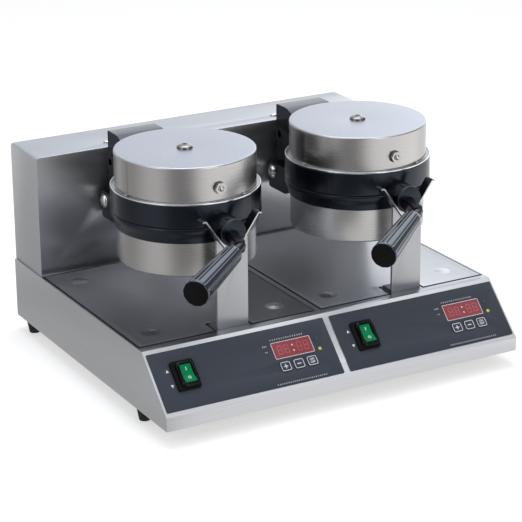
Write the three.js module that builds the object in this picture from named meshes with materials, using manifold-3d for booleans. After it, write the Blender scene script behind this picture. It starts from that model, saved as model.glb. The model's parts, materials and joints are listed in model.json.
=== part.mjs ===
import * as THREE from 'three';
import { mergeVertices } from 'three/addons/utils/BufferGeometryUtils.js';
import Module from 'manifold-3d';

// A double Belgian waffle baker: two round heads that flip in a tower's bearings over one base.
// Millimetres. X runs to the right, Y to the back, Z up, and the feet stand on zero.
// Lengths named _DOWN are measured down the slope from its upper bend.

const wasm = await Module();
wasm.setup();

// Housing
const BASE_WIDTH = 508;
const FOOT_HEIGHT = 20;
const LIP_HEIGHT = 17.5;
const SLOPE_RUN = 63;
const SHEET = 1.5;
const TOWER_DEPTH = 84.5;
const TOWER_SIDE_GAP = 2;
const TOWER_CLEARANCE = 8.5;
const TOWER_ABOVE_AXIS = 39;
const TOWER_BEND = 4;
const COVER_SHEET = 1.2;
const VENT_WIDTH = 60;
const VENT_HEIGHT = 4;
const VENT_PITCH = 10;
const VENT_ROWS = 4;
const VENT_COLUMNS = 2;

// Feet
const FOOT_TOP_RADIUS = 10.5;
const FOOT_TIP_RADIUS = 7;
const FOOT_EDGE = 1.5;
const FOOT_INSET = 14;
const FRONT_FOOT_SETBACK = 25;
const REAR_FOOT_INSET = 24;
const FOOT_STUD_RADIUS = 3;
const FOOT_STUD_LENGTH = 5;

// Heads
const HEAD_OFFSET = 7;
const AXIS_RISE = 124;
const RUNNING_GAP = 0.3;
const PARTING_GAP = 0.3;

// Rings and drums of a head
const RING_RADIUS = 95.7;
const RING_DRAFT = 0.7;
const RING_FOOT_INSET = 6.3;
const UPPER_RING_HEIGHT = 29.5;
const RING_BELOW_TRUNNION = 0.5;
const UPPER_DRUM_INSET = 6.1;
const LOWER_DRUM_INSET = 7.5;
const UPPER_DRUM_HEIGHT = 46.5;
const LOWER_DRUM_HEIGHT = 46.5;
const DRUM_SHEET = 1.2;
const DRUM_EDGE = 2;
const RIM_LIP = 2.6;

// Waffle cavity and grid plates
const CAVITY_WALL = 9.2;
const CAVITY_DRAFT = 2;
const CAVITY_DEPTH = 14;
const PLATE_LAP = 0.5;
const PLATE_THICKNESS = 6;
const PEG_PITCH = 20;
const PEG_HEIGHT = 11.5;
const PEG_BASE = 16.5;
const PEG_TIP = 11;
const PEG_MARGIN = 3.5;
const PEG_ROWS = 8;
const HEATER_RADIUS = 58;
const HEATER_BEAD = 6;
const BOSS_RADIUS = 9;
const BOSS_HEIGHT = 7;

// Trunnion, handle lug and handle
const TRUNNION_RADIUS = 17.5;
const TRUNNION_LENGTH = 30.3;
const TRUNNION_SETBACK = 11;
const LUG_NOSE = 8;
const LUG_WIDTH = 20;
const LUG_ABOVE = 10.5;
const LUG_BELOW = 18.5;
const LUG_CORNER = 4;
const SHANK_RADIUS = 7;
const SHANK_FORWARD = 24;
const SHANK_BELOW = 4.5;
const SHANK_TAIL = 15;
const SHANK_REACH = 74;
const SHANK_CHAMFER = 1.2;
const HANDLE_TURN = 50.5;
const HANDLE_DROOP = 5;
const GRIP_START = 34;
const GRIP_LENGTH = 116.4;
const GRIP_ROOT_RADIUS = 12.4;
const GRIP_END_RADIUS = 16.8;
const FLUTE_DEPTH = 0.9;
const FLUTES = 12;

// Saddle and post
const SADDLE_ANGLE = 55;
const SADDLE_SHEET = 2;
const SADDLE_WIDTH = 15;
const SADDLE_SETBACK = 3;
const SADDLE_CREST = 33;
const SADDLE_LIP_RADIUS = 4;
const SADDLE_LIP_END = 35;
const SADDLE_ROOT_RADIUS = 8;
const POST_SETBACK = 5;
const POST_WIDTH = 43.5;
const POST_SHEET = 4;
const POST_BELOW_AXIS = 7.5;
const POST_FOOT = 22;
const POST_CORNER = 1;

// Hinge block, shaft and lid pivot
const BLOCK_WIDTH = 67;
const BLOCK_REAR = 21;
const BLOCK_GAP = 1.3;
const BLOCK_BELOW = 51.5;
const BLOCK_ARC = 37;
const BLOCK_EDGE = 1.5;
const PIVOT_RISE = 27.5;
const PIVOT_PIN_RADIUS = 5;
const SHAFT_RADIUS = 12.5;
const SHAFT_TAIL = 10.2;
const DOG_REACH = 24;
const DOG_THICKNESS = 8;
const DOG_WIDTH = 9;

// Lid arms, rear lugs and cross bolt
const ARM_THICKNESS = 7;
const ARM_END_RADIUS = 10;
const ARM_ROOT_LAP = 11.7;
const ARM_ROOT_LOW = 12;
const ARM_STEP_LAP = 4.7;
const REAR_LUG_THICKNESS = 11;
const REAR_LUG_LAP = 13.9;
const REAR_LUG_RUN = 15.3;
const REAR_LUG_PROUD = 1;
const REAR_LUG_TOP = 15;
const REAR_LUG_STEP = 17;
const REAR_LUG_CORNER = 4;
const CROSS_BOLT_INSET = 9;
const CROSS_BOLT_BELOW = 27.5;
const CROSS_BOLT_RADIUS = 5;
const NUT_RADIUS = 9.2;
const NUT_DOME_RADIUS = 7.6;
const NUT_HEIGHT = 4;
const WASHER_HEIGHT = 1.4;

// Bearing in the tower and its screw
const BEARING_WIDTH = 58;
const BEARING_DEPTH = 26;
const BEARING_SETBACK = 8;
const BEARING_BELOW = 30;
const SHELF_DEPTH = 12;
const PORT_RADIUS = 16;
const TOWER_SCREW_SIDE = 21;
const TOWER_SCREW_RADIUS = 2.5;
const TOWER_SCREW_HEAD = 4.6;
const TOWER_SCREW_CROWN = 2.4;
const TOWER_SCREW_LENGTH = 14;

// Screws of the head
const CAP_RADIUS = 10.4;
const CAP_CROWN = 4.6;
const STUD_RADIUS = 3;
const HEX_SIDES = 6;
const HEX_RADIUS = 8.4;
const HEX_HEIGHT = 6.5;
const HEX_COLLAR_RADIUS = 9.6;
const HEX_COLLAR = 1.8;
const HEX_STUD_RADIUS = 4;
const HEX_STUD_LENGTH = 12;
const HEX_ABOVE_RING = 18.5;

// Drip trays
const TRAY_FRONT_GAP = 13.5;
const TRAY_REAR_GAP = 2;
const TRAY_OUTER_GAP = 3.6;
const TRAY_MIDDLE_GAP = 4.5;
const TRAY_SHEET = 1.2;
const TRAY_RIM = 3;
const TRAY_SINK = 2;
const TRAY_PROUD = 0.6;
const WELL_GAP = 1.2;
const LEDGE_WIDTH = 8;
const NOTCH_GAP = 3;
const DIMPLE_RADIUS = 11.5;
const DIMPLE_HEIGHT = 1.6;
const DIMPLE_OUTER_INSET = 35.4;
const DIMPLE_INNER_INSET = 34.5;
const DIMPLE_FRONT_INSET = 41.5;
const DIMPLE_REAR_INSET = 35.5;

// Control panels
const PANEL_OUTER_GAP = 2.9;
const PANEL_DOWN = 5.6;
const PANEL_ABOVE_LIP = 5.8954544;
const PANEL_SHEET = 0.8;
const PANEL_CORNER = 1.5;
const ROCKER_INSET = 42.5;
const ROCKER_DOWN = 41;
const FRAME_SIDE = 5.75;
const FRAME_END = 4.75;
const FRAME_RISE = 3;
const FRAME_CORNER = 2.5;
const FRAME_WALL = 2;
const FRAME_DEPTH = 12;
const COLLAR_RISE = 1.6;
const ROCKER_SHIFT = 2.5;
const ROCKER_WIDTH = 19.5;
const ROCKER_LENGTH = 29;
const ROCKER_RISE = 6;
const ROCKER_VALLEY = 4;
const ROCKER_SINK = 6;
const ROCKER_TILT = 7;
const ROCKER_TAPER = 3;
const ROCKER_GAP = 0.6;
const CONTROLS_INSET = 60;
const DISPLAY_WIDTH = 54;
const DISPLAY_LENGTH = 21;
const DISPLAY_DOWN = 36;
const DISPLAY_THICKNESS = 6;
const DISPLAY_PROUD = 0.3;
const KEY_PITCH = 18.8;
const KEY_BELOW_DISPLAY = 5.65;
const KEY_WIDTH = 14;
const KEY_LENGTH = 12.5;
const KEY_CORNER = 2.5;
const KEY_PROUD = 1.1;
const KEY_SINK = 3;
const KEY_STEM = 5;
const LAMP_INSET = 24.5;
const LAMP_DOWN = 45;
const LAMP_RADIUS = 2.2;
const LAMP_PROUD = 0.8;
const BOARD_WIDTH = 112;
const BOARD_UPPER_INSET = 8.4;
const BOARD_LOWER_INSET = 7.2;
const BOARD_THICKNESS = 1.6;
const BOARD_BELOW = 12;
const BOARD_OUTER_INSET = 9;
const STANDOFF_RADIUS = 2.5;

// Shares of a radius and of a height, from the foot of a low dome to its crown
const DOME_SHARES = [[1, 0], [0.9, 0.5], [0.5, 0.93]];
const BUTTON_DOME_SHARES = [[1, 0], [0.84, 0.62], [0.44, 0.94]];
const DIMPLE_SHARES = [[1, 0], [0.7, 0.75], [0.35, 0.97]];

// Facets
const ROUND = 32;
const ROUND_MEDIUM = 20;
const ROUND_SMALL = 12;
const SQUARE = 4;
const BEND_STEPS = 3;
const ARC_STEPS = 6;

// How far a cutting tool runs past the face that it opens
const OVERRUN = 2;

// Sizes that follow from those above
const UNIT_PITCH = BASE_WIDTH / 2;
const TOWER_WIDTH = BASE_WIDTH - TOWER_SIDE_GAP * 2;
const TOWER_RISE = AXIS_RISE + TOWER_ABOVE_AXIS;
const LOWER_RING_HEIGHT = TRUNNION_RADIUS + RING_BELOW_TRUNNION;
const RING_CROWN_RADIUS = RING_RADIUS - RING_DRAFT;
const RING_FOOT_RADIUS = RING_RADIUS - RING_FOOT_INSET;
const UPPER_DRUM_RADIUS = RING_RADIUS - UPPER_DRUM_INSET;
const LOWER_DRUM_RADIUS = RING_RADIUS - LOWER_DRUM_INSET;
const CAVITY_RADIUS = RING_RADIUS - CAVITY_WALL;
const PLATE_RADIUS = CAVITY_RADIUS + PLATE_LAP;
const PEG_REACH = CAVITY_RADIUS - PEG_MARGIN;
const LUG_LENGTH = SHANK_FORWARD + LUG_NOSE;
const HEX_RISE = UPPER_RING_HEIGHT + HEX_ABOVE_RING;
const PANEL_WIDTH = UNIT_PITCH - TRAY_MIDDLE_GAP - PANEL_OUTER_GAP;
const PANEL_LENGTH = SLOPE_RUN * Math.SQRT2 - PANEL_DOWN - PANEL_ABOVE_LIP;
const FRAME_WIDTH = ROCKER_WIDTH + FRAME_SIDE * 2;
const FRAME_LENGTH = ROCKER_LENGTH + FRAME_END * 2;
const KEY_DOWN = DISPLAY_DOWN + (DISPLAY_LENGTH + KEY_LENGTH) / 2 + KEY_BELOW_DISPLAY;
const BOARD_LENGTH = PANEL_LENGTH - BOARD_UPPER_INSET - BOARD_LOWER_INSET;

// Places on the slope, across from a unit's middle and down from the bend
const ROCKER_SIDE = ROCKER_INSET - UNIT_PITCH / 2;
const CONTROLS_SIDE = UNIT_PITCH / 2 - CONTROLS_INSET;
const LAMP_SIDE = UNIT_PITCH / 2 - LAMP_INSET;
const BOARD_SIDE = UNIT_PITCH / 2 - BOARD_OUTER_INSET - BOARD_WIDTH / 2;
const BOARD_DOWN = PANEL_DOWN + BOARD_UPPER_INSET + BOARD_LENGTH / 2;

// Places along Y: slope, trunnion, head, hinge block and tower follow each other from front to back
const HEAD_SETBACK = SLOPE_RUN + TRUNNION_SETBACK + TRUNNION_LENGTH + RING_RADIUS;
const TOWER_SETBACK = HEAD_SETBACK + RING_RADIUS + BLOCK_GAP + BLOCK_ARC + BLOCK_REAR + TOWER_CLEARANCE;
const BASE_DEPTH = TOWER_SETBACK + TOWER_DEPTH;
const FRONT = -BASE_DEPTH / 2;
const REAR = BASE_DEPTH / 2;
const SLOPE_Y = FRONT + SLOPE_RUN;
const TRUNNION_Y = SLOPE_Y + TRUNNION_SETBACK;
const SADDLE_Y = TRUNNION_Y + SADDLE_SETBACK;
const POST_Y = TRUNNION_Y + POST_SETBACK;
const HEAD_Y = FRONT + HEAD_SETBACK;
const RING_REAR = HEAD_Y + RING_RADIUS;
const PIVOT_Y = RING_REAR + BLOCK_GAP + BLOCK_ARC;
const BLOCK_Y = PIVOT_Y + BLOCK_REAR;
const CROSS_BOLT_Y = BLOCK_Y - CROSS_BOLT_INSET;
const TOWER_FRONT = BLOCK_Y + TOWER_CLEARANCE;
const BEARING_Y = TOWER_FRONT + BEARING_SETBACK;
const DOG_Y = BEARING_Y + BEARING_DEPTH + RUNNING_GAP;
const TRAY_Y = SLOPE_Y + TRAY_FRONT_GAP;
const TRAY_REAR = TOWER_FRONT - TRAY_REAR_GAP;

// Heights, and the rest
const BASE_Z = FOOT_HEIGHT;
const DECK_Z = BASE_Z + LIP_HEIGHT + SLOPE_RUN;
const TOWER_TOP = DECK_Z + TOWER_RISE;
const AXIS_Z = DECK_Z + AXIS_RISE;
const ARM_X = BLOCK_WIDTH / 2 + RUNNING_GAP;
const OVERLAY_TOP = RUNNING_GAP + PANEL_SHEET;
const UNITS = [
  { side: 'left', sign: -1, middle: -UNIT_PITCH / 2 },
  { side: 'right', sign: 1, middle: UNIT_PITCH / 2 },
];

// Joining and cutting: every shape below is a three.js geometry

function toSolid(geometry) {
  const bare = new THREE.BufferGeometry();
  bare.setAttribute('position', geometry.attributes.position.clone());
  bare.setIndex(geometry.index);
  const merged = mergeVertices(bare);
  const corners = merged.index.array;
  const kept = [];
  for (let i = 0; i < corners.length; i += 3) {
    const [a, b, c] = [corners[i], corners[i + 1], corners[i + 2]];
    if (a !== b && b !== c && c !== a) {
      kept.push(a, b, c);
    }
  }
  return new wasm.Manifold(new wasm.Mesh({
    numProp: 3,
    vertProperties: new Float32Array(merged.attributes.position.array),
    triVerts: new Uint32Array(kept),
  }));
}

function toGeometry(solid) {
  const mesh = solid.getMesh();
  const geometry = new THREE.BufferGeometry();
  geometry.setAttribute('position', new THREE.BufferAttribute(new Float32Array(mesh.vertProperties), 3));
  geometry.setIndex(new THREE.BufferAttribute(new Uint32Array(mesh.triVerts), 1));
  return geometry;
}

function join(...pieces) {
  return toGeometry(pieces.map(toSolid).reduce((whole, piece) => whole.add(piece)));
}

function cut(body, ...tools) {
  return toGeometry(tools.map(toSolid).reduce((rest, tool) => rest.subtract(tool), toSolid(body)));
}

function common(one, other) {
  return toGeometry(toSolid(one).intersect(toSolid(other)));
}

function mirrored(geometry) {
  const copy = toGeometry(toSolid(geometry)).scale(-1, 1, 1);
  const corners = copy.index.array;
  for (let i = 0; i < corners.length; i += 3) {
    [corners[i], corners[i + 1]] = [corners[i + 1], corners[i]];
  }
  return copy;
}

// Basic shapes

function block(x0, x1, y0, y1, z0, z1) {
  const box = new THREE.BoxGeometry(x1 - x0, y1 - y0, z1 - z0);
  return box.translate((x0 + x1) / 2, (y0 + y1) / 2, (z0 + z1) / 2);
}

// A box centred on the origin in x and y
function slab(width, length, z0, z1) {
  return block(-width / 2, width / 2, -length / 2, length / 2, z0, z1);
}

// An outline of [x, y] points, drawn up from z0 to z1
function prism(points, z0, z1) {
  const shape = new THREE.Shape(points.map(([x, y]) => new THREE.Vector2(x, y)));
  return new THREE.ExtrudeGeometry(shape, { depth: z1 - z0, bevelEnabled: false }).translate(0, 0, z0);
}

// An outline of [y, z] points, drawn along X from x0 to x1
function alongX(points, x0, x1) {
  return prism(points, x0, x1).applyMatrix4(new THREE.Matrix4().makeBasis(
    new THREE.Vector3(0, 1, 0),
    new THREE.Vector3(0, 0, 1),
    new THREE.Vector3(1, 0, 0),
  ));
}

// An outline of [x, z] points, drawn along Y from y0 to y1
function alongY(points, y0, y1) {
  return prism(points, -y1, -y0).rotateX(Math.PI / 2);
}

function rodX(radius, x0, x1, y, z, sides = ROUND_SMALL) {
  const rod = new THREE.CylinderGeometry(radius, radius, x1 - x0, sides);
  return rod.rotateZ(-Math.PI / 2).translate((x0 + x1) / 2, y, z);
}

function rodY(radius, y0, y1, x, z, sides = ROUND_SMALL) {
  return new THREE.CylinderGeometry(radius, radius, y1 - y0, sides).translate(x, (y0 + y1) / 2, z);
}

function rodZ(radius, z0, z1, x = 0, y = 0, sides = ROUND_SMALL) {
  const rod = new THREE.CylinderGeometry(radius, radius, z1 - z0, sides);
  return rod.rotateX(Math.PI / 2).translate(x, y, (z0 + z1) / 2);
}

// A profile of [radius, z] points turned about Z: it ends on the axis or is closed on itself here
function turned(profile, sides = ROUND) {
  const points = profile.map(([radius, z]) => new THREE.Vector2(radius, z));
  if (THREE.ShapeUtils.isClockWise(points)) {
    points.reverse();
  }
  if (points[0].x > 0) {
    points.push(points[0]);
  }
  return new THREE.LatheGeometry(points, sides).rotateX(Math.PI / 2);
}

// The profile of a dome that stands on z0
function dome(radius, height, z0, shares) {
  return [...shares.map(([r, z]) => [radius * r, z0 + height * z]), [0, z0 + height]];
}

function arc(cx, cy, radius, from, to, steps = ARC_STEPS) {
  const points = [];
  for (let i = 0; i <= steps; i += 1) {
    const angle = THREE.MathUtils.degToRad(from + (to - from) * i / steps);
    points.push([cx + radius * Math.cos(angle), cy + radius * Math.sin(angle)]);
  }
  return points;
}

function roundedRectangle(width, length, corner) {
  const x = width / 2 - corner;
  const y = length / 2 - corner;
  return [
    ...arc(x, y, corner, 0, 90, BEND_STEPS),
    ...arc(-x, y, corner, 90, 180, BEND_STEPS),
    ...arc(-x, -y, corner, 180, 270, BEND_STEPS),
    ...arc(x, -y, corner, 270, 360, BEND_STEPS),
  ];
}

// Materials and nodes

const FINISHES = {
  steel: { color: 0xb4b6ba, roughness: 0.34, metalness: 1 },
  casting: { color: 0x17191c, roughness: 0.42, metalness: 0.2 },
  gripBlack: { color: 0x0c0c0e, roughness: 0.25, metalness: 0 },
  chrome: { color: 0xd8dadd, roughness: 0.18, metalness: 1 },
  overlay: { color: 0x3a3f48, roughness: 0.5, metalness: 0 },
  plastic: { color: 0x101113, roughness: 0.45, metalness: 0 },
  rubber: { color: 0x141414, roughness: 0.85, metalness: 0 },
  green: { color: 0x0c7a4e, roughness: 0.3, metalness: 0 },
  red: { color: 0x8f3540, roughness: 0.25, metalness: 0 },
  lamp: { color: 0xd6e24a, roughness: 0.3, metalness: 0 },
  grid: { color: 0x3b3a38, roughness: 0.55, metalness: 0.6 },
  board: { color: 0x1d5a34, roughness: 0.6, metalness: 0 },
  zinc: { color: 0xa9a9a4, roughness: 0.45, metalness: 0.9 },
};

function place(parent, name, finish, geometry) {
  const mesh = new THREE.Mesh(geometry, new THREE.MeshStandardMaterial(FINISHES[finish]));
  mesh.name = name;
  parent.add(mesh);
}

function headX(unit) {
  return unit.middle + HEAD_OFFSET;
}

// Base housing

function baseOutline(inset) {
  const bevel = inset * Math.tan(Math.PI / 8);
  return [
    [FRONT + inset, BASE_Z - inset],
    [REAR - inset, BASE_Z - inset],
    [REAR - inset, DECK_Z - inset],
    [SLOPE_Y + bevel, DECK_Z - inset],
    [FRONT + inset, BASE_Z + LIP_HEIGHT - bevel],
  ];
}

// A folded sheet, open below, with a shallow well for each tray and a cut-out for each control
function baseShell() {
  const half = BASE_WIDTH / 2;
  const room = alongX(baseOutline(SHEET), SHEET - half, half - SHEET);
  const skin = cut(alongX(baseOutline(0), -half, half), room);
  const floorZ = DECK_Z - TRAY_SINK;
  const floors = UNITS.map((unit) => trayWell(unit, 0, floorZ - SHEET, DECK_Z - SHEET / 2));
  const wells = UNITS.map((unit) => trayWell(unit, SHEET, floorZ, DECK_Z + OVERRUN));
  const drains = UNITS.map((unit) => trayWell(unit, LEDGE_WIDTH, floorZ - SHEET - OVERRUN, DECK_Z));
  const controls = UNITS.flatMap((unit) => (
    [frameCut(), displayCut(), keysCut(), lampCut()].map((tool) => tool.applyMatrix4(slopeMatrix(unit)))
  ));
  return cut(join(skin, ...floors), ...wells, ...drains, ...controls);
}

function trayEdges(unit) {
  const edges = [TRAY_MIDDLE_GAP * unit.sign, (BASE_WIDTH / 2 - TRAY_OUTER_GAP) * unit.sign];
  return [Math.min(...edges), Math.max(...edges)];
}

// The well round one tray, inset from the outside of its walls
function trayWell(unit, inset, z0, z1) {
  const [x0, x1] = trayEdges(unit);
  const grow = WELL_GAP + SHEET - inset;
  const well = block(x0 - grow, x1 + grow, TRAY_Y - grow, TRAY_REAR + grow, z0, z1);
  return cut(well, postIsland(unit, NOTCH_GAP - grow, z0 - OVERRUN, z1 + OVERRUN));
}

// The deck stays solid under the post's foot
function postIsland(unit, gap, z0, z1) {
  const half = POST_WIDTH / 2 + gap;
  const x = headX(unit);
  return block(x - half, x + half, FRONT, POST_Y + POST_FOOT + gap, z0, z1);
}

// Places a unit's panel frame on the slope: x across, y up the slope, z out of it
function slopeMatrix(unit) {
  return new THREE.Matrix4().makeRotationX(Math.PI / 4).setPosition(unit.middle, SLOPE_Y, DECK_Z);
}

function frameCut() {
  return slab(FRAME_WIDTH - FRAME_WALL, FRAME_LENGTH - FRAME_WALL, -SHEET - OVERRUN, OVERRUN)
    .translate(ROCKER_SIDE, -ROCKER_DOWN, 0);
}

function displayCut() {
  return slab(DISPLAY_WIDTH + RUNNING_GAP * 2, DISPLAY_LENGTH + RUNNING_GAP * 2, -SHEET - OVERRUN, OVERRUN)
    .translate(CONTROLS_SIDE, -DISPLAY_DOWN, 0);
}

function keysCut() {
  return slab(KEY_PITCH * 2 + KEY_WIDTH + FRAME_WALL, KEY_LENGTH + FRAME_WALL, -SHEET - OVERRUN, OVERRUN)
    .translate(CONTROLS_SIDE, -KEY_DOWN, 0);
}

function lampCut() {
  return rodZ(LAMP_RADIUS + RUNNING_GAP, -SHEET - OVERRUN, OVERRUN, LAMP_SIDE, -LAMP_DOWN);
}

function bottomPlate() {
  const half = BASE_WIDTH / 2 - SHEET - RUNNING_GAP;
  const [y0, y1] = [FRONT + SHEET + RUNNING_GAP, REAR - SHEET - RUNNING_GAP];
  const plate = block(-half, half, y0, y1, BASE_Z, BASE_Z + SHEET);
  return cut(plate, ...footPlaces().map(([x, y]) => (
    rodZ(FOOT_STUD_RADIUS + RUNNING_GAP, BASE_Z - OVERRUN, BASE_Z + SHEET + OVERRUN, x, y)
  )));
}

function footPlaces() {
  const x = BASE_WIDTH / 2 - FOOT_INSET;
  const [front, rear] = [SLOPE_Y + FRONT_FOOT_SETBACK, REAR - REAR_FOOT_INSET];
  return [[-x, front], [x, front], [-x, rear], [x, rear]];
}

function foot([x, y]) {
  return turned([
    [0, 0],
    [FOOT_TIP_RADIUS, 0],
    [FOOT_TOP_RADIUS, FOOT_HEIGHT - FOOT_EDGE],
    [FOOT_TOP_RADIUS, FOOT_HEIGHT],
    [FOOT_STUD_RADIUS, FOOT_HEIGHT],
    [FOOT_STUD_RADIUS, FOOT_HEIGHT + FOOT_STUD_LENGTH],
    [0, FOOT_HEIGHT + FOOT_STUD_LENGTH],
  ], ROUND_SMALL).translate(x, y, 0);
}

// Tower and its rear cover

function towerOutline(inset) {
  const x = TOWER_WIDTH / 2 - TOWER_BEND;
  const z = TOWER_TOP - TOWER_BEND;
  const bend = TOWER_BEND - inset;
  return [
    [-x - bend, DECK_Z - inset],
    [x + bend, DECK_Z - inset],
    ...arc(x, z, bend, 0, 90, BEND_STEPS),
    ...arc(-x, z, bend, 90, 180, BEND_STEPS),
  ];
}

function towerShell() {
  const rear = REAR - COVER_SHEET;
  const room = alongY(towerOutline(SHEET), TOWER_FRONT + SHEET, REAR + OVERRUN);
  return cut(alongY(towerOutline(0), TOWER_FRONT, rear), room, ...UNITS.flatMap((unit) => [
    port(unit),
    towerScrewHole(unit),
  ]));
}

function port(unit) {
  const [y0, y1] = [TOWER_FRONT - OVERRUN, TOWER_FRONT + SHEET + OVERRUN];
  return rodY(PORT_RADIUS, y0, y1, headX(unit), AXIS_Z, ROUND_MEDIUM);
}

function towerScrewHole(unit) {
  const low = TOWER_TOP - TOWER_SCREW_LENGTH - RUNNING_GAP;
  return rodZ(TOWER_SCREW_RADIUS + RUNNING_GAP, low, TOWER_TOP + OVERRUN, towerScrewX(unit), bearingMiddle());
}

function towerScrewX(unit) {
  return headX(unit) - TOWER_SCREW_SIDE;
}

function bearingMiddle() {
  return BEARING_Y + BEARING_DEPTH / 2;
}

function vent() {
  const [x, z] = [VENT_WIDTH / 2, VENT_HEIGHT / 2];
  return block(-x, x, -COVER_SHEET - OVERRUN, OVERRUN, -z, z);
}

function towerBack() {
  const slots = [];
  for (const unit of UNITS) {
    for (let i = 0; i < VENT_COLUMNS; i += 1) {
      for (let j = 0; j < VENT_ROWS; j += 1) {
        const x = unit.middle + (i - (VENT_COLUMNS - 1) / 2) * (VENT_WIDTH + VENT_PITCH);
        const z = DECK_Z + TOWER_RISE / 2 + (j - (VENT_ROWS - 1) / 2) * VENT_PITCH;
        slots.push(vent().translate(x, REAR, z));
      }
    }
  }
  return cut(alongY(towerOutline(0), REAR - COVER_SHEET, REAR), ...slots);
}

// Bearing housing, screwed under the tower's top, with the shelf that stops the half turn
function bearing(unit) {
  const x = headX(unit);
  const half = BEARING_WIDTH / 2;
  const low = AXIS_Z - BEARING_BELOW;
  const rear = BEARING_Y + BEARING_DEPTH;
  const shelfTop = AXIS_Z - DOG_THICKNESS / 2 - RUNNING_GAP;
  const body = block(x - half, x + half, BEARING_Y, rear, low, TOWER_TOP - SHEET);
  const shelf = block(x - half, x + half, rear - SHEET, rear + SHELF_DEPTH, low, shelfTop);
  const bore = rodY(
    SHAFT_RADIUS + RUNNING_GAP,
    BEARING_Y - OVERRUN,
    rear + SHELF_DEPTH + OVERRUN,
    x,
    AXIS_Z,
    ROUND_MEDIUM,
  );
  return cut(join(body, shelf), bore, towerScrewHole(unit));
}

function towerScrew(unit) {
  return turned([
    [0, -TOWER_SCREW_LENGTH],
    [TOWER_SCREW_RADIUS, -TOWER_SCREW_LENGTH],
    [TOWER_SCREW_RADIUS, 0],
    ...dome(TOWER_SCREW_HEAD, TOWER_SCREW_CROWN, 0, BUTTON_DOME_SHARES),
  ], ROUND_SMALL).translate(towerScrewX(unit), bearingMiddle(), TOWER_TOP);
}

// Drip tray: a flat pan with a raised rim, four round dimples and a notch round the post
function tray(unit) {
  const [x0, x1] = trayEdges(unit);
  const low = DECK_Z - TRAY_SINK;
  const top = DECK_Z + TRAY_PROUD;
  const over = top + OVERRUN;
  const rim = TRAY_RIM;
  const room = block(x0 + rim, x1 - rim, TRAY_Y + rim, TRAY_REAR - rim, low + TRAY_SHEET, over);
  const hollow = cut(room, postIsland(unit, NOTCH_GAP + rim, low, over + OVERRUN));
  const body = block(x0, x1, TRAY_Y, TRAY_REAR, low, top);
  const pan = cut(body, hollow, postIsland(unit, NOTCH_GAP, low - OVERRUN, over));
  const dimples = dimplePlaces(unit).map(([x, y]) => dimple().translate(x, y, low));
  return join(pan, ...dimples);
}

function dimplePlaces(unit) {
  const outer = (BASE_WIDTH / 2 - TRAY_OUTER_GAP - DIMPLE_OUTER_INSET) * unit.sign;
  const inner = (TRAY_MIDDLE_GAP + DIMPLE_INNER_INSET) * unit.sign;
  const rows = [TRAY_Y + DIMPLE_FRONT_INSET, TRAY_REAR - DIMPLE_REAR_INSET];
  return [outer, inner].flatMap((x) => rows.map((y) => [x, y]));
}

// It stands on the pan's underside, so that it joins the sheet all through
function dimple() {
  return turned([
    [0, 0],
    [DIMPLE_RADIUS, 0],
    ...dome(DIMPLE_RADIUS, DIMPLE_HEIGHT, TRAY_SHEET, DIMPLE_SHARES),
  ], ROUND_SMALL);
}

// Saddle: a strip bent to a V with a round root and rolled-out lips

function saddleRoot() {
  const tilt = THREE.MathUtils.degToRad(SADDLE_ANGLE);
  const z = (SADDLE_ROOT_RADIUS - TRUNNION_RADIUS - RUNNING_GAP) / Math.cos(tilt);
  return { tilt, z };
}

// Points of one face of the strip, from the root out to the right lip
function saddleFace(depth) {
  const { tilt, z } = saddleRoot();
  const slant = 90 - SADDLE_ANGLE;
  const crestZ = z - SADDLE_ROOT_RADIUS / Math.cos(tilt) + SADDLE_CREST * Math.tan(tilt);
  const lipX = SADDLE_CREST + SADDLE_LIP_RADIUS * Math.sin(tilt);
  const lipZ = crestZ - SADDLE_LIP_RADIUS * Math.cos(tilt);
  return [
    ...arc(0, z, SADDLE_ROOT_RADIUS + depth, 270, 360 - slant, BEND_STEPS),
    ...arc(lipX, lipZ, SADDLE_LIP_RADIUS - depth, 180 - slant, SADDLE_LIP_END),
  ];
}

function saddle(unit) {
  const upper = saddleFace(0);
  const lower = saddleFace(SADDLE_SHEET);
  const leftward = (points) => points.slice(1).map(([x, z]) => [-x, z]);
  const outline = [...upper, ...lower.slice().reverse(), ...leftward(lower), ...leftward(upper).reverse()];
  return alongY(outline, SADDLE_Y, SADDLE_Y + SADDLE_WIDTH).translate(headX(unit), 0, AXIS_Z);
}

// Post: a flat plate on a bent foot, with a V notch that holds the saddle
function post(unit) {
  const half = POST_WIDTH / 2;
  const low = -AXIS_RISE;
  const top = -POST_BELOW_AXIS;
  const face = [
    [-half, low],
    [half, low],
    [half, top - POST_CORNER],
    [half - POST_CORNER, top],
    [POST_CORNER - half, top],
    [-half, top - POST_CORNER],
  ];
  const plate = alongY(face, POST_Y, POST_Y + POST_SHEET);
  const base = block(-half, half, POST_Y, POST_Y + POST_FOOT, low, low + POST_SHEET);
  return cut(join(plate, base), postNotch()).translate(headX(unit), 0, AXIS_Z);
}

function postNotch() {
  const { tilt, z } = saddleRoot();
  const radius = SADDLE_ROOT_RADIUS + SADDLE_SHEET + RUNNING_GAP;
  const slant = 90 - SADDLE_ANGLE;
  const wide = z - radius / Math.cos(tilt) + POST_WIDTH * Math.tan(tilt);
  const outline = [
    ...arc(0, z, radius, 180 + slant, 360 - slant, BEND_STEPS * 2),
    [POST_WIDTH, wide],
    [-POST_WIDTH, wide],
  ];
  return alongY(outline, POST_Y - OVERRUN, POST_Y + POST_SHEET + OVERRUN);
}

// Control panel, built in the slope's frame

function overlay(unit) {
  const shift = unit.sign * (TRAY_MIDDLE_GAP + PANEL_WIDTH / 2) - unit.middle;
  const sheet = prism(roundedRectangle(PANEL_WIDTH, PANEL_LENGTH, PANEL_CORNER), RUNNING_GAP, OVERLAY_TOP)
    .translate(shift, -PANEL_DOWN - PANEL_LENGTH / 2, 0);
  return cut(sheet, frameCut(), displayCut(), lampCut(), ...keySides().map(keyCut));
}

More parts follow.
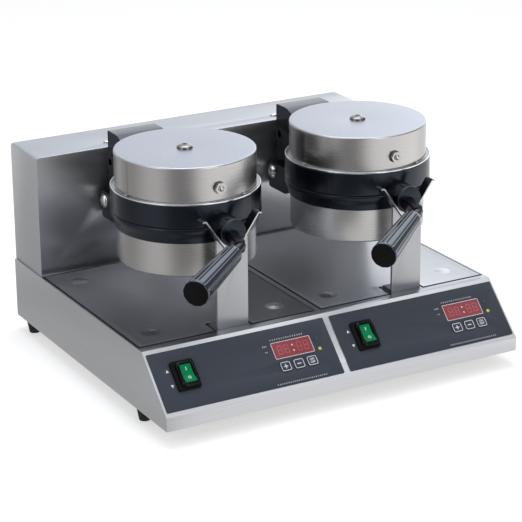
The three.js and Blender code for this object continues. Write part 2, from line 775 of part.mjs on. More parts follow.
function keySides() {
  return [-1, 0, 1].map((i) => CONTROLS_SIDE + i * KEY_PITCH);
}

function keyCut(side) {
  const [width, length] = [KEY_WIDTH + RUNNING_GAP * 2, KEY_LENGTH + RUNNING_GAP * 2];
  return prism(roundedRectangle(width, length, KEY_CORNER), -OVERRUN, OVERRUN).translate(side, -KEY_DOWN, 0);
}

// The rocker's frame: a flange on the panel, a raised collar and a well behind it
function rockerFrame() {
  const top = OVERLAY_TOP + FRAME_RISE;
  const gap = FRAME_WALL + RUNNING_GAP * 2;
  const [width, length] = [ROCKER_WIDTH + ROCKER_GAP * 2, ROCKER_LENGTH + ROCKER_GAP * 2];
  const flange = prism(roundedRectangle(FRAME_WIDTH, FRAME_LENGTH, FRAME_CORNER), OVERLAY_TOP, top);
  const well = slab(FRAME_WIDTH - gap, FRAME_LENGTH - gap, -FRAME_DEPTH, top - COLLAR_RISE);
  const collar = slab(width + FRAME_WALL, length + FRAME_WALL, OVERLAY_TOP, top + COLLAR_RISE)
    .translate(ROCKER_SHIFT, 0, 0);
  const room = slab(width, length, FRAME_WALL - FRAME_DEPTH, top + COLLAR_RISE + OVERRUN)
    .translate(ROCKER_SHIFT, 0, 0);
  return cut(join(flange, well, collar), room);
}

// Two faces that meet in a shallow valley over the pivot; one end rests pressed in
function rocker() {
  const half = ROCKER_LENGTH / 2;
  const outline = [
    [ROCKER_TAPER - half, -ROCKER_SINK / 2],
    [0, -ROCKER_SINK],
    [half - ROCKER_TAPER, -ROCKER_SINK / 2],
    [half - ROCKER_TAPER / 2, ROCKER_RISE],
    [0, ROCKER_VALLEY],
    [ROCKER_TAPER / 2 - half, ROCKER_RISE],
  ];
  const body = alongX(outline, -ROCKER_WIDTH / 2, ROCKER_WIDTH / 2);
  return body.rotateX(THREE.MathUtils.degToRad(-ROCKER_TILT)).translate(ROCKER_SHIFT, 0, OVERLAY_TOP);
}

function display() {
  const top = OVERLAY_TOP + DISPLAY_PROUD;
  return slab(DISPLAY_WIDTH, DISPLAY_LENGTH, top - DISPLAY_THICKNESS, top);
}

function key() {
  const cap = prism(roundedRectangle(KEY_WIDTH, KEY_LENGTH, KEY_CORNER), -KEY_SINK, OVERLAY_TOP + KEY_PROUD);
  return join(cap, slab(KEY_WIDTH / 2, KEY_LENGTH / 2, -KEY_SINK - KEY_STEM, 0));
}

function lamp() {
  return turned([
    [0, -DISPLAY_THICKNESS],
    [LAMP_RADIUS, -DISPLAY_THICKNESS],
    ...dome(LAMP_RADIUS, LAMP_PROUD, OVERLAY_TOP, BUTTON_DOME_SHARES),
  ], ROUND_SMALL);
}

// The board hangs behind the panel on four standoffs
function board() {
  const x = BOARD_WIDTH / 2 - STANDOFF_RADIUS * 2;
  const y = BOARD_LENGTH / 2 - STANDOFF_RADIUS * 2;
  const low = -BOARD_BELOW - BOARD_THICKNESS;
  const standoffs = [[-x, -y], [x, -y], [x, y], [-x, y]].map(([sx, sy]) => (
    rodZ(STANDOFF_RADIUS, low, -SHEET - RUNNING_GAP, sx, sy)
  ));
  return join(slab(BOARD_WIDTH, BOARD_LENGTH, low, -BOARD_BELOW), ...standoffs);
}

// Rings, built about the flip axis: the upper one carries the lid arms, half trunnion and handle lug

function upperRingBand() {
  return turned([
    [CAVITY_RADIUS, PARTING_GAP / 2],
    [RING_RADIUS, PARTING_GAP / 2],
    [RING_CROWN_RADIUS, UPPER_RING_HEIGHT],
    [PLATE_RADIUS, UPPER_RING_HEIGHT],
    [PLATE_RADIUS, CAVITY_DEPTH],
    [CAVITY_RADIUS - CAVITY_DRAFT, CAVITY_DEPTH],
  ]).translate(0, HEAD_Y, 0);
}

function lowerRingBand() {
  return turned([
    [CAVITY_RADIUS, -PARTING_GAP / 2],
    [CAVITY_RADIUS - CAVITY_DRAFT, -CAVITY_DEPTH],
    [PLATE_RADIUS, -CAVITY_DEPTH],
    [PLATE_RADIUS, -LOWER_RING_HEIGHT],
    [RING_FOOT_RADIUS, -LOWER_RING_HEIGHT],
    [RING_RADIUS, -PARTING_GAP / 2],
  ]).translate(0, HEAD_Y, 0);
}

// Half of the front trunnion, on one side of the parting plane
function halfTrunnion(sign) {
  const reach = TRUNNION_RADIUS * 2;
  const heights = [sign * PARTING_GAP / 2, sign * reach];
  const keep = block(-reach, reach, TRUNNION_Y, HEAD_Y, Math.min(...heights), Math.max(...heights));
  const whole = rodY(TRUNNION_RADIUS, TRUNNION_Y, HEAD_Y - CAVITY_RADIUS, 0, 0, ROUND_MEDIUM);
  return cut(common(whole, keep), rodZ(PLATE_RADIUS, -reach, reach, 0, HEAD_Y, ROUND));
}

// It grows out of the upper half's face and hangs in front of the lower half's
function handleLug() {
  const [x, corner] = [LUG_WIDTH / 2, LUG_CORNER];
  const outline = [
    ...arc(x - corner, LUG_ABOVE - corner, corner, 0, 90, BEND_STEPS),
    ...arc(corner - x, LUG_ABOVE - corner, corner, 90, 180, BEND_STEPS),
    ...arc(corner - x, corner - LUG_BELOW, corner, 180, 270, BEND_STEPS),
    ...arc(x - corner, corner - LUG_BELOW, corner, 270, 360, BEND_STEPS),
  ];
  const body = alongY(outline, TRUNNION_Y - LUG_LENGTH, TRUNNION_Y + LUG_CORNER);
  const [face, low] = [TRUNNION_Y - RUNNING_GAP, -LUG_BELOW * 2];
  const clear = block(-LUG_WIDTH, LUG_WIDTH, face, HEAD_Y, low, PARTING_GAP / 2);
  const socket = rodZ(SHANK_RADIUS + RUNNING_GAP, -SHANK_REACH, SHANK_REACH).applyMatrix4(handleMatrix());
  return cut(body, clear, socket);
}

// Places the handle's frame in the head's: z runs out along the handle
function handleMatrix() {
  const turn = THREE.MathUtils.degToRad(HANDLE_TURN);
  const droop = THREE.MathUtils.degToRad(HANDLE_DROOP);
  const level = Math.cos(droop);
  const aim = new THREE.Vector3(-Math.sin(turn) * level, -Math.cos(turn) * level, -Math.sin(droop));
  const quaternion = new THREE.Quaternion().setFromUnitVectors(new THREE.Vector3(0, 0, 1), aim);
  const matrix = new THREE.Matrix4().makeRotationFromQuaternion(quaternion);
  return matrix.setPosition(0, TRUNNION_Y - SHANK_FORWARD, -SHANK_BELOW);
}

function lidArm() {
  const root = RING_REAR - ARM_ROOT_LAP;
  const [x0, x1] = [ARM_X, ARM_X + ARM_THICKNESS];
  const outline = [
    [root, ARM_ROOT_LOW],
    ...arc(PIVOT_Y, PIVOT_RISE, ARM_END_RADIUS, -90, 90),
    [RING_REAR - ARM_STEP_LAP, UPPER_RING_HEIGHT],
    [root, UPPER_RING_HEIGHT],
  ];
  const hole = rodX(PIVOT_PIN_RADIUS + RUNNING_GAP, x0 - OVERRUN, x1 + OVERRUN, PIVOT_Y, PIVOT_RISE);
  return cut(alongX(outline, x0, x1), hole);
}

function upperRing() {
  return join(upperRingBand(), halfTrunnion(1), handleLug(), lidArm(), mirrored(lidArm()));
}

function rearLug() {
  const front = RING_REAR - REAR_LUG_LAP;
  const rear = BLOCK_Y + REAR_LUG_PROUD - REAR_LUG_CORNER;
  const [x0, x1] = [ARM_X, ARM_X + REAR_LUG_THICKNESS];
  const outline = [
    [front, -LOWER_RING_HEIGHT],
    [RING_REAR + REAR_LUG_RUN, -BLOCK_BELOW],
    ...arc(rear, REAR_LUG_CORNER - BLOCK_BELOW, REAR_LUG_CORNER, -90, 0, BEND_STEPS),
    ...arc(rear, -REAR_LUG_TOP - REAR_LUG_CORNER, REAR_LUG_CORNER, 0, 90, BEND_STEPS),
    [front + REAR_LUG_STEP, -REAR_LUG_TOP],
    [front, -PARTING_GAP / 2],
  ];
  return cut(alongX(outline, x0, x1), crossBoltHole(x0 - OVERRUN, x1 + OVERRUN));
}

function crossBoltHole(x0, x1) {
  return rodX(CROSS_BOLT_RADIUS + RUNNING_GAP, x0, x1, CROSS_BOLT_Y, -CROSS_BOLT_BELOW);
}

function lowerRing() {
  return join(lowerRingBand(), halfTrunnion(-1), rearLug(), mirrored(rearLug()));
}

// Grid plate with its pegs up and the heater cast into a bead on its back
function gridPlate() {
  const back = -CAVITY_DEPTH - PLATE_THICKNESS;
  const middle = -CAVITY_DEPTH - PLATE_THICKNESS / 2;
  const plate = turned([[0, back], [PLATE_RADIUS, back], [PLATE_RADIUS, -CAVITY_DEPTH], [0, -CAVITY_DEPTH]]);
  const bead = turned([
    [HEATER_RADIUS - HEATER_BEAD, middle],
    [HEATER_RADIUS - HEATER_BEAD / 2, back - HEATER_BEAD],
    [HEATER_RADIUS + HEATER_BEAD / 2, back - HEATER_BEAD],
    [HEATER_RADIUS + HEATER_BEAD, middle],
  ], ROUND_MEDIUM);
  return join(plate, bead, rodZ(BOSS_RADIUS, back - BOSS_HEIGHT, middle), pegField());
}

// Tapered square pegs on a square pitch, each one that fits whole inside the plate's round edge
function pegField() {
  const pegs = [];
  const half = PEG_BASE / 2;
  for (let i = 0; i < PEG_ROWS; i += 1) {
    for (let j = 0; j < PEG_ROWS; j += 1) {
      const x = (i - (PEG_ROWS - 1) / 2) * PEG_PITCH;
      const y = (j - (PEG_ROWS - 1) / 2) * PEG_PITCH;
      if (Math.hypot(Math.abs(x) + half, Math.abs(y) + half) < PEG_REACH) {
        pegs.push(peg().translate(x, y, 0));
      }
    }
  }
  return join(...pegs);
}

// A square frustum that runs on down into the plate at the same draft
function peg() {
  const root = PLATE_THICKNESS / 2;
  const base = PEG_BASE + (PEG_BASE - PEG_TIP) * root / PEG_HEIGHT;
  const height = PEG_HEIGHT + root;
  const middle = PEG_HEIGHT - height / 2 - CAVITY_DEPTH;
  const frustum = new THREE.CylinderGeometry(PEG_TIP * Math.SQRT1_2, base * Math.SQRT1_2, height, SQUARE);
  return frustum.rotateY(Math.PI / SQUARE).rotateX(Math.PI / 2).translate(0, 0, middle);
}

function lowerGrid() {
  return gridPlate().translate(0, HEAD_Y, 0);
}

// The upper plate is the same casting turned over, tapped for the screw through the drum
function upperGrid() {
  const back = -CAVITY_DEPTH - PLATE_THICKNESS;
  const tap = rodZ(STUD_RADIUS + RUNNING_GAP, back - BOSS_HEIGHT - OVERRUN, back);
  return cut(gridPlate(), tap).rotateX(Math.PI).translate(0, HEAD_Y, 0);
}

// Drum covers: spun sheet cans, the upper one with a flange and a lip over its ring

function upperDrum() {
  const low = UPPER_RING_HEIGHT;
  const top = low + UPPER_DRUM_HEIGHT;
  const [outer, sheet] = [UPPER_DRUM_RADIUS, DRUM_SHEET];
  const can = turned([
    [outer - sheet, low],
    [RING_CROWN_RADIUS, low],
    [RING_CROWN_RADIUS, low + RIM_LIP],
    [RING_CROWN_RADIUS - sheet, low + RIM_LIP],
    [RING_CROWN_RADIUS - sheet, low + sheet],
    [outer, low + sheet],
    [outer, top - DRUM_EDGE],
    [outer - DRUM_EDGE, top],
    [STUD_RADIUS + RUNNING_GAP, top],
    [STUD_RADIUS + RUNNING_GAP, top - sheet],
    [outer - sheet, top - sheet],
  ]).translate(0, HEAD_Y, 0);
  const [y0, y1] = [HEAD_Y - RING_RADIUS, HEAD_Y - CAVITY_RADIUS / 2];
  return cut(can, rodY(HEX_STUD_RADIUS + RUNNING_GAP, y0, y1, 0, HEX_RISE));
}

function lowerDrum() {
  const top = -LOWER_RING_HEIGHT;
  const low = top - LOWER_DRUM_HEIGHT;
  const [outer, sheet] = [LOWER_DRUM_RADIUS, DRUM_SHEET];
  return turned([
    [0, low],
    [outer - DRUM_EDGE, low],
    [outer, low + DRUM_EDGE],
    [outer, top],
    [outer - sheet, top],
    [outer - sheet, low + sheet],
    [0, low + sheet],
  ]).translate(0, HEAD_Y, 0);
}

function capScrew() {
  const top = UPPER_RING_HEIGHT + UPPER_DRUM_HEIGHT;
  const tip = CAVITY_DEPTH + PLATE_THICKNESS + RUNNING_GAP;
  return turned([
    [0, tip],
    [STUD_RADIUS, tip],
    [STUD_RADIUS, top],
    ...dome(CAP_RADIUS, CAP_CROWN, top, DOME_SHARES),
  ], ROUND_SMALL * 2).translate(0, HEAD_Y, 0);
}

// Hexagon bolt with a collar, on the front of the upper drum
function drumBolt() {
  const face = HEAD_Y - UPPER_DRUM_RADIUS;
  const hexagon = arc(0, HEX_RISE, HEX_RADIUS, 0, 360 - 360 / HEX_SIDES, HEX_SIDES - 1);
  return join(
    alongY(hexagon, face - HEX_COLLAR - HEX_HEIGHT, face - HEX_COLLAR / 2),
    rodY(HEX_COLLAR_RADIUS, face - HEX_COLLAR, face, 0, HEX_RISE, ROUND_MEDIUM),
    rodY(HEX_STUD_RADIUS, face - HEX_COLLAR, face + HEX_STUD_LENGTH, 0, HEX_RISE),
  );
}

// Hinge block, cast with the flip shaft and the lid's two pivot pins
function hingeBlock() {
  const half = BLOCK_WIDTH / 2;
  const top = PIVOT_RISE + BLOCK_ARC;
  const outline = [
    [PIVOT_Y - BLOCK_ARC, -BLOCK_BELOW],
    [BLOCK_Y - BLOCK_EDGE, -BLOCK_BELOW],
    [BLOCK_Y, BLOCK_EDGE - BLOCK_BELOW],
    [BLOCK_Y, top - BLOCK_EDGE],
    [BLOCK_Y - BLOCK_EDGE, top],
    ...arc(PIVOT_Y, PIVOT_RISE, BLOCK_ARC, 90, 180, ARC_STEPS * 2),
  ];
  const body = cut(alongX(outline, -half, half), crossBoltHole(-half - OVERRUN, half + OVERRUN));
  const pinEnd = ARM_X + ARM_THICKNESS;
  const pins = rodX(PIVOT_PIN_RADIUS, -pinEnd, pinEnd, PIVOT_Y, PIVOT_RISE);
  const shaftEnd = DOG_Y + DOG_WIDTH + SHAFT_TAIL;
  const shaft = rodY(SHAFT_RADIUS, BLOCK_Y - SHAFT_RADIUS, shaftEnd, 0, 0, ROUND_MEDIUM);
  return join(body, pins, shaft, stopDog());
}

// The dog lies on the bearing's shelf at both ends of the half turn
function stopDog() {
  return block(-DOG_REACH, 0, DOG_Y, DOG_Y + DOG_WIDTH, -DOG_THICKNESS / 2, DOG_THICKNESS / 2);
}

// A rod with a washer and a domed nut at each end
function crossBolt() {
  const x = ARM_X + REAR_LUG_THICKNESS;
  const half = turned([
    [0, -OVERRUN],
    [CROSS_BOLT_RADIUS, -OVERRUN],
    [CROSS_BOLT_RADIUS, x],
    [NUT_RADIUS, x],
    [NUT_RADIUS, x + WASHER_HEIGHT],
    ...dome(NUT_DOME_RADIUS, NUT_HEIGHT, x + WASHER_HEIGHT, DOME_SHARES),
  ], ROUND_SMALL).rotateY(Math.PI / 2);
  return join(half, mirrored(half)).translate(0, CROSS_BOLT_Y, -CROSS_BOLT_BELOW);
}

// Handle, built in its own frame

function shank() {
  return turned([
    [0, -SHANK_TAIL],
    [SHANK_RADIUS - SHANK_CHAMFER, -SHANK_TAIL],
    [SHANK_RADIUS, SHANK_CHAMFER - SHANK_TAIL],
    [SHANK_RADIUS, SHANK_REACH],
    [0, SHANK_REACH],
  ], ROUND_SMALL);
}

// A tapered grip whose wall dips into shallow flutes
function grip() {
  const sides = FLUTES * 4;
  const taper = new THREE.CylinderGeometry(GRIP_END_RADIUS, GRIP_ROOT_RADIUS, GRIP_LENGTH, sides, 1);
  taper.rotateX(Math.PI / 2).translate(0, 0, GRIP_START + GRIP_LENGTH / 2);
  const points = taper.attributes.position;
  for (let i = 0; i < points.count; i += 1) {
    const [x, y] = [points.getX(i), points.getY(i)];
    const radius = Math.hypot(x, y);
    const dip = FLUTE_DEPTH * (1 - Math.cos(FLUTES * Math.atan2(y, x))) / 2;
    const share = radius > FLUTE_DEPTH ? 1 - dip / radius : 1;
    points.setXY(i, x * share, y * share);
  }
  return cut(taper, rodZ(SHANK_RADIUS + RUNNING_GAP, GRIP_START - OVERRUN, SHANK_REACH + RUNNING_GAP));
}

// The whole machine

const group = new THREE.Group();

function buildHousing() {
  place(group, 'base_shell', 'steel', baseShell());
  place(group, 'bottom_plate', 'zinc', bottomPlate());
  place(group, 'tower_shell', 'steel', towerShell());
  place(group, 'tower_back_cover', 'steel', towerBack());
  footPlaces().forEach((spot, i) => place(group, `foot_${i + 1}`, 'rubber', foot(spot)));
}

function buildFittings(unit) {
  const s = unit.side;
  place(group, `bearing_${s}`, 'zinc', bearing(unit));
  place(group, `tower_screw_${s}`, 'chrome', towerScrew(unit));
  place(group, `post_${s}`, 'steel', post(unit));
  place(group, `saddle_${s}`, 'casting', saddle(unit));
  place(group, `drip_tray_${s}`, 'steel', tray(unit));
}

function buildPanel(unit) {
  const s = unit.side;
  const slope = new THREE.Group();
  slope.applyMatrix4(slopeMatrix(unit));
  group.add(slope);
  place(slope, `panel_overlay_${s}`, 'overlay', overlay(unit));
  place(slope, `rocker_frame_${s}`, 'plastic', rockerFrame().translate(ROCKER_SIDE, -ROCKER_DOWN, 0));
  place(slope, `rocker_${s}`, 'green', rocker().translate(ROCKER_SIDE, -ROCKER_DOWN, 0));
  place(slope, `display_${s}`, 'red', display().translate(CONTROLS_SIDE, -DISPLAY_DOWN, 0));
  place(slope, `lamp_${s}`, 'lamp', lamp().translate(LAMP_SIDE, -LAMP_DOWN, 0));
  place(slope, `control_board_${s}`, 'board', board().translate(BOARD_SIDE, -BOARD_DOWN, 0));
  const names = ['plus', 'minus', 'start'];
  keySides().forEach((side, i) => (
    place(slope, `key_${names[i]}_${s}`, 'plastic', key().translate(side, -KEY_DOWN, 0))
  ));
}

function buildHead(unit) {
  const s = unit.side;
  const head = new THREE.Group();
  head.position.set(headX(unit), 0, AXIS_Z);
  group.add(head);
  place(head, `hinge_block_${s}`, 'casting', hingeBlock());
  place(head, `cross_bolt_${s}`, 'chrome', crossBolt());
  place(head, `lower_ring_${s}`, 'casting', lowerRing());
  place(head, `lower_grid_${s}`, 'grid', lowerGrid());
  place(head, `lower_drum_${s}`, 'steel', lowerDrum());
  place(head, `upper_ring_${s}`, 'casting', upperRing());
  place(head, `upper_grid_${s}`, 'grid', upperGrid());
  place(head, `upper_drum_${s}`, 'steel', upperDrum());
  place(head, `cap_screw_${s}`, 'chrome', capScrew());
  place(head, `drum_bolt_${s}`, 'chrome', drumBolt());
  const handle = new THREE.Group();
  handle.applyMatrix4(handleMatrix());
  head.add(handle);
  place(handle, `handle_shank_${s}`, 'casting', shank());
  place(handle, `handle_grip_${s}`, 'gripBlack', grip());
}

// The origin goes under the middle of the whole machine, handles included
function centre() {
  const bounds = new THREE.Box3().setFromObject(group, true);
  group.position.y = -(bounds.min.y + bounds.max.y) / 2;
}

buildHousing();
for (const unit of UNITS) {
  buildFittings(unit);
  buildPanel(unit);
  buildHead(unit);
}
centre();

export default group;
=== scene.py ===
# %% [markdown]
# # A double waffle baker with two flipping heads
# The solids come ready from the CAD model, and this lesson dresses them. Sheet-metal parts whose shape is
# right keep their solid and only get softer edges and a finish. Everything that is round, or that shows a
# reflection, is made again here from formulas, because a 32-sided solid would show its facets in polished
# steel.

# %% Load the fixed frame
import json
import math

import bmesh
import bpy
import numpy as np
from mathutils import Matrix, Vector


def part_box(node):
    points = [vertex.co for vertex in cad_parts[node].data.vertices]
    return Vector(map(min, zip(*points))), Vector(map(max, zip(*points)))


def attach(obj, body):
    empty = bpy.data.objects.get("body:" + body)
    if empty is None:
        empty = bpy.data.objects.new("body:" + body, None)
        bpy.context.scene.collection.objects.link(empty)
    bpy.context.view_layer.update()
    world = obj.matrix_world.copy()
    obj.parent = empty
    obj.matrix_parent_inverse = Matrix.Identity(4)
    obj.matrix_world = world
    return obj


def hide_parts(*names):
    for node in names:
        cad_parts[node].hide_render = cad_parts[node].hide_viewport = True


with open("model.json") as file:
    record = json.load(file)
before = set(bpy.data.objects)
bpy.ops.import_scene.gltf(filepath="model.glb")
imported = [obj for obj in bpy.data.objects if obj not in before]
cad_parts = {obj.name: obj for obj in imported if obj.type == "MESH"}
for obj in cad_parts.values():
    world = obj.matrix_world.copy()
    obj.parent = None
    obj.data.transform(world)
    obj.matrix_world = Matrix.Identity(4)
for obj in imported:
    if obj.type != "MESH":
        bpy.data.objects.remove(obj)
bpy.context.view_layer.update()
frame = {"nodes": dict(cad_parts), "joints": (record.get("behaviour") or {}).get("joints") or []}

nodes = frame["nodes"]
joints = {joint["name"]: joint for joint in frame["joints"]}
MM = 0.001
SIDES = ("left", "right")

# %% [markdown]
# ## The camera
# The photograph was taken from the front left, a little above the machine, with a long lens. The angles,
# the distance and the focal length were worked out beforehand from edges of known length in the
# photograph. A Track To constraint could aim the camera, but it can't give it a roll, so the camera is set
# by its three axes.

# %% Camera
AZIMUTH, ELEVATION, ROLL = (math.radians(angle) for angle in (-29.313, 19.832, -0.427))
AIM = Vector((-0.0121, 0.004967, 0.129651))
DISTANCE = 2.6666
SENSOR_MM, FOCAL_MM = 36, 141.376
FAR_CLIP = 60

back = Vector((math.sin(AZIMUTH) * math.cos(ELEVATION), -math.cos(AZIMUTH) * math.cos(ELEVATION),
               math.sin(ELEVATION)))
level = Vector((math.cos(AZIMUTH), math.sin(AZIMUTH), 0))
upward = back.cross(level)
right = level * math.cos(ROLL) + upward * math.sin(ROLL)
up = upward * math.cos(ROLL) - level * math.sin(ROLL)
facing = Matrix((right, up, back)).transposed().to_4x4()

camera = bpy.data.objects.new("camera", bpy.data.cameras.new("camera"))
camera.data.sensor_width = SENSOR_MM
camera.data.lens = FOCAL_MM
camera.data.clip_end = FAR_CLIP
camera.matrix_world = Matrix.Translation(AIM + back * DISTANCE) @ facing
bpy.context.scene.collection.objects.link(camera)
bpy.context.scene.camera = camera
print("camera at", [round(value, 3) for value in camera.location])

# %% [markdown]
# ## Nodes for the finishes
# Every finish is made of shader nodes. They could be placed by hand in the shader editor, but a script
# gives the same result each time. One small function adds a node, sets it up and links its inputs. Colours
# are given as the hex values that a screen shows, and a second function turns them into the renderer's
# linear values.

# %% Node and colour helpers
def linear(code):
    """The linear colour of an sRGB hex code: a share c becomes c/12.92, or above 0.04045
    ((c + 0.055)/1.055)^2.4."""
    shares = np.array([int(code[i:i + 2], 16) for i in (1, 3, 5)]) / 255
    values = np.where(shares <= 0.04045, shares / 12.92, ((shares + 0.055) / 1.055) ** 2.4)
    return (*values.tolist(), 1.0)


def add_node(tree, kind, inputs=None, **settings):
    """Adds a node of a kind, sets its properties, and fills or links its inputs."""
    node = tree.nodes.new(kind)
    for name, value in settings.items():
        setattr(node, name, value)
    for name, value in (inputs or {}).items():
        if isinstance(value, bpy.types.NodeSocket):
            tree.links.new(value, node.inputs[name])
        else:
            node.inputs[name].default_value = value
    return node


def new_finish(name, color, metallic=0.0, roughness=0.5, **more):
    """A material with one Principled shader, whose constants are set on its own sockets."""
    finish = bpy.data.materials.new(name)
    finish.use_nodes = True
    shader = finish.node_tree.nodes["Principled BSDF"]
    shader.inputs["Base Color"].default_value = linear(color)
    shader.inputs["Metallic"].default_value = metallic
    shader.inputs["Roughness"].default_value = roughness
    for socket, value in more.items():
        shader.inputs[socket.replace("_", " ")].default_value = value
    return finish, finish.node_tree, shader


def patterned(tree, shader, pattern, dark, light, rough):
    """A noise value, which lies mostly from 0.3 to 0.7, moves the colour from dark to light and moves the
    roughness over its range."""
    span = {"Value": pattern, "From Min": 0.3, "From Max": 0.7}
    share = add_node(tree, "ShaderNodeMapRange", span)
    sheen = add_node(tree, "ShaderNodeMapRange", {**span, "To Min": rough[0], "To Max": rough[1]})
    color = add_node(tree, "ShaderNodeMix", {"Factor": share.outputs["Result"], 6: linear(dark),
                                             7: linear(light)}, data_type="RGBA")
    tree.links.new(color.outputs[2], shader.inputs["Base Color"])
    tree.links.new(sheen.outputs["Result"], shader.inputs["Roughness"])


print("node helpers ready")

# %% [markdown]
# ## Brushed stainless sheet
# The base, the tower and the posts are 304 stainless sheet with a number 4 finish, brushed with a fine
# belt. The grain runs level along every wall. It makes the sheen a little rough, and it draws each
# reflection out at right angles to itself, so what shows in a wall is soft upright bands. A picture of
# scratches could do this, but stretched noise needs no picture and no unwrapping, and its scale is a real
# size. The real scratches are about 0.1 mm wide. They are drawn 0.6 mm wide and 80 mm long on the sheets,
# and 0.25 mm wide and 50 mm long on the drums, because finer ones would not show.

# %% Brushed steel
def brushed(name, dark, light, rough, stretch, across=0.0006, along=0.08, side_axis=2):
    """Brushed metal: noise is squeezed across the grain and stretched along it, on Object coordinates in
    metres. Its streaks move colour and roughness. The tangent n x z runs level round the upright axis."""
    finish, tree, shader = new_finish(name, light, metallic=1.0, roughness=rough[0])
    scale = [1 / along] * 3
    scale[side_axis] = 1 / across
    place = add_node(tree, "ShaderNodeTexCoord").outputs["Object"]
    squeezed = add_node(tree, "ShaderNodeVectorMath", {0: place, 1: scale}, operation="MULTIPLY").outputs[0]
    streaks = add_node(tree, "ShaderNodeTexNoise", {"Vector": squeezed, "Scale": 1.0, "Detail": 3.0,
                                                    "Roughness": 0.6})
    patterned(tree, shader, streaks.outputs["Fac"], dark, light, rough)
    if stretch:
        shader.inputs["Anisotropic"].default_value = stretch
        normal = add_node(tree, "ShaderNodeNewGeometry").outputs["Normal"]
        upright = add_node(tree, "ShaderNodeVectorTransform", {"Vector": (0, 0, 1)}, vector_type="VECTOR",
                           convert_from="OBJECT", convert_to="WORLD").outputs["Vector"]
        level_way = add_node(tree, "ShaderNodeVectorMath", {0: normal, 1: upright},
                             operation="CROSS_PRODUCT")
        tree.links.new(level_way.outputs[0], shader.inputs["Tangent"])
    return finish


# The walls of the base and the tower: pale grey with soft upright bands.
brushed_sheet = brushed("stainless_304_brushed_sheet", "#d2d3d6", "#dcdde0", (0.35, 0.39), 0.75)
# The same sheet where it lies flat and looks up: a darker, cooler grey, which is painted light from above.
top_sheet_painted_light = brushed("stainless_304_top_painted_light", "#a5a8b0", "#aeb1b9", (0.28, 0.34), 0, side_axis=1)
# The drums' walls: finer marks and clearer bands of light.
brushed_drum = brushed("stainless_304_brushed_drum", "#bcbab9", "#c2c0bf", (0.265, 0.275), 0.7,
                       across=0.00025, along=0.05)
# The posts: an even grey with hardly any bands.
brushed_post = brushed("stainless_304_brushed_post", "#abacaf", "#b0b1b4", (0.32, 0.35), 0.5)
# The trays: dark, smooth sheet that mirrors what stands on it, a little blurred.
tray_steel = brushed("stainless_304_mirror_tray", "#a3a5ab", "#adafb5", (0.22, 0.26), 0, side_axis=1)
print("brushed finishes", len(bpy.data.materials))

# %% [markdown]
# ## Castings and mouldings
# The rings, hinge blocks and saddles are cast or bent metal under satin black paint, which has a faint
# grain. Its sheen is tinted blue, which is painted cool light. The tops of the hinge blocks get a finish of
# their own, a greyer copy of the paint with a clear coat, which is painted light from above. The grips are
# phenolic mouldings with a high gloss, whose sheen is also tinted blue as painted cool light. The panel film
# is printed polycarbonate with a fine matt texture. One even colour would look like a toy, so fine noise of
# a real size moves colour, roughness and height a little.

# %% Painted, moulded and cast finishes
def speckled(name, dark, light, metallic, rough, size, depth, **more):
    """Fine noise with grains of a size in metres moves colour and roughness, and as bump it moves the height
    by a depth in metres."""
    finish, tree, shader = new_finish(name, light, metallic, rough[0], **more)
    place = add_node(tree, "ShaderNodeTexCoord").outputs["Object"]
    noise = add_node(tree, "ShaderNodeTexNoise", {"Vector": place, "Scale": 1 / size, "Detail": 4.0,
                                                  "Roughness": 0.55}).outputs["Fac"]
    patterned(tree, shader, noise, dark, light, rough)
    if depth:
        bump = add_node(tree, "ShaderNodeBump", {"Height": noise, "Distance": depth, "Strength": 1.0})
        tree.links.new(bump.outputs["Normal"], shader.inputs["Normal"])
    return finish


# Blue tints for the sheen of the black paint and the grips: painted cool light.
PAINTED_COOL_SHEEN = (0.70, 0.80, 1.0, 1.0)
PAINTED_COOLER_SHEEN = (0.52, 0.68, 1.0, 1.0)
# Satin paint on the castings: blue-black, with wide soft highlights whose blue tint is painted cool light.
satin_black = speckled("cast_aluminium_satin_black_paint", "#05070c", "#0a0d14", 0.0, (0.20, 0.27), 0.0016,
                       0.00001, Specular_IOR_Level=0.5, Specular_Tint=PAINTED_COOL_SHEEN)
# The hinge blocks' tops: the same paint with a clear coat, in a greyer colour that is painted light from
# above, and with a blue-tinted sheen that is painted cool light.
block_top_painted_light = speckled("cast_block_top_painted_light", "#181c26", "#1f2430", 0.0, (0.2, 0.27), 0.0016,
                     0.00001, Specular_IOR_Level=0.6, Specular_Tint=PAINTED_COOL_SHEEN, Coat_Weight=0.35,
                     Coat_Roughness=0.2)
# The grips: deep black with narrow bands, whose blue tint is painted cool light.
grip_gloss = speckled("phenolic_gloss_black", "#030305", "#070709", 0.0, (0.05, 0.08), 0.004, 0,
                      Specular_IOR_Level=1.0, Specular_Tint=PAINTED_COOLER_SHEEN, Coat_Weight=0.35, Coat_Roughness=0.05)
# The grips' ends: dull and almost black.
grip_matt = speckled("phenolic_matt_black", "#08080a", "#0e0e10", 0.0, (0.5, 0.65), 0.001, 0.00002,
                     Specular_IOR_Level=0.12)
# The switches' frames: black with a soft sheen.
abs_black = speckled("abs_satin_black", "#050506", "#0a0a0c", 0.0, (0.32, 0.45), 0.0008, 0.00001,
                     Specular_IOR_Level=0.12)
# The bezels round the lenses: black with small sharp highlights.
gloss_black = speckled("abs_gloss_black", "#040405", "#09090a", 0.0, (0.1, 0.16), 0.003, 0,
                       Specular_IOR_Level=0.2)
# The panels and keys: slate blue film, nearly without a sheen.
film = speckled("polycarbonate_film_slate", "#353a45", "#3e434e", 0.0, (0.40, 0.50), 0.0009, 0.000006,
                Specular_IOR_Level=0.25)
# The feet: soft black with no highlight.
rubber = speckled("rubber_matt_black", "#0c0c0c", "#181818", 0.0, (0.7, 0.9), 0.0012, 0.00003)
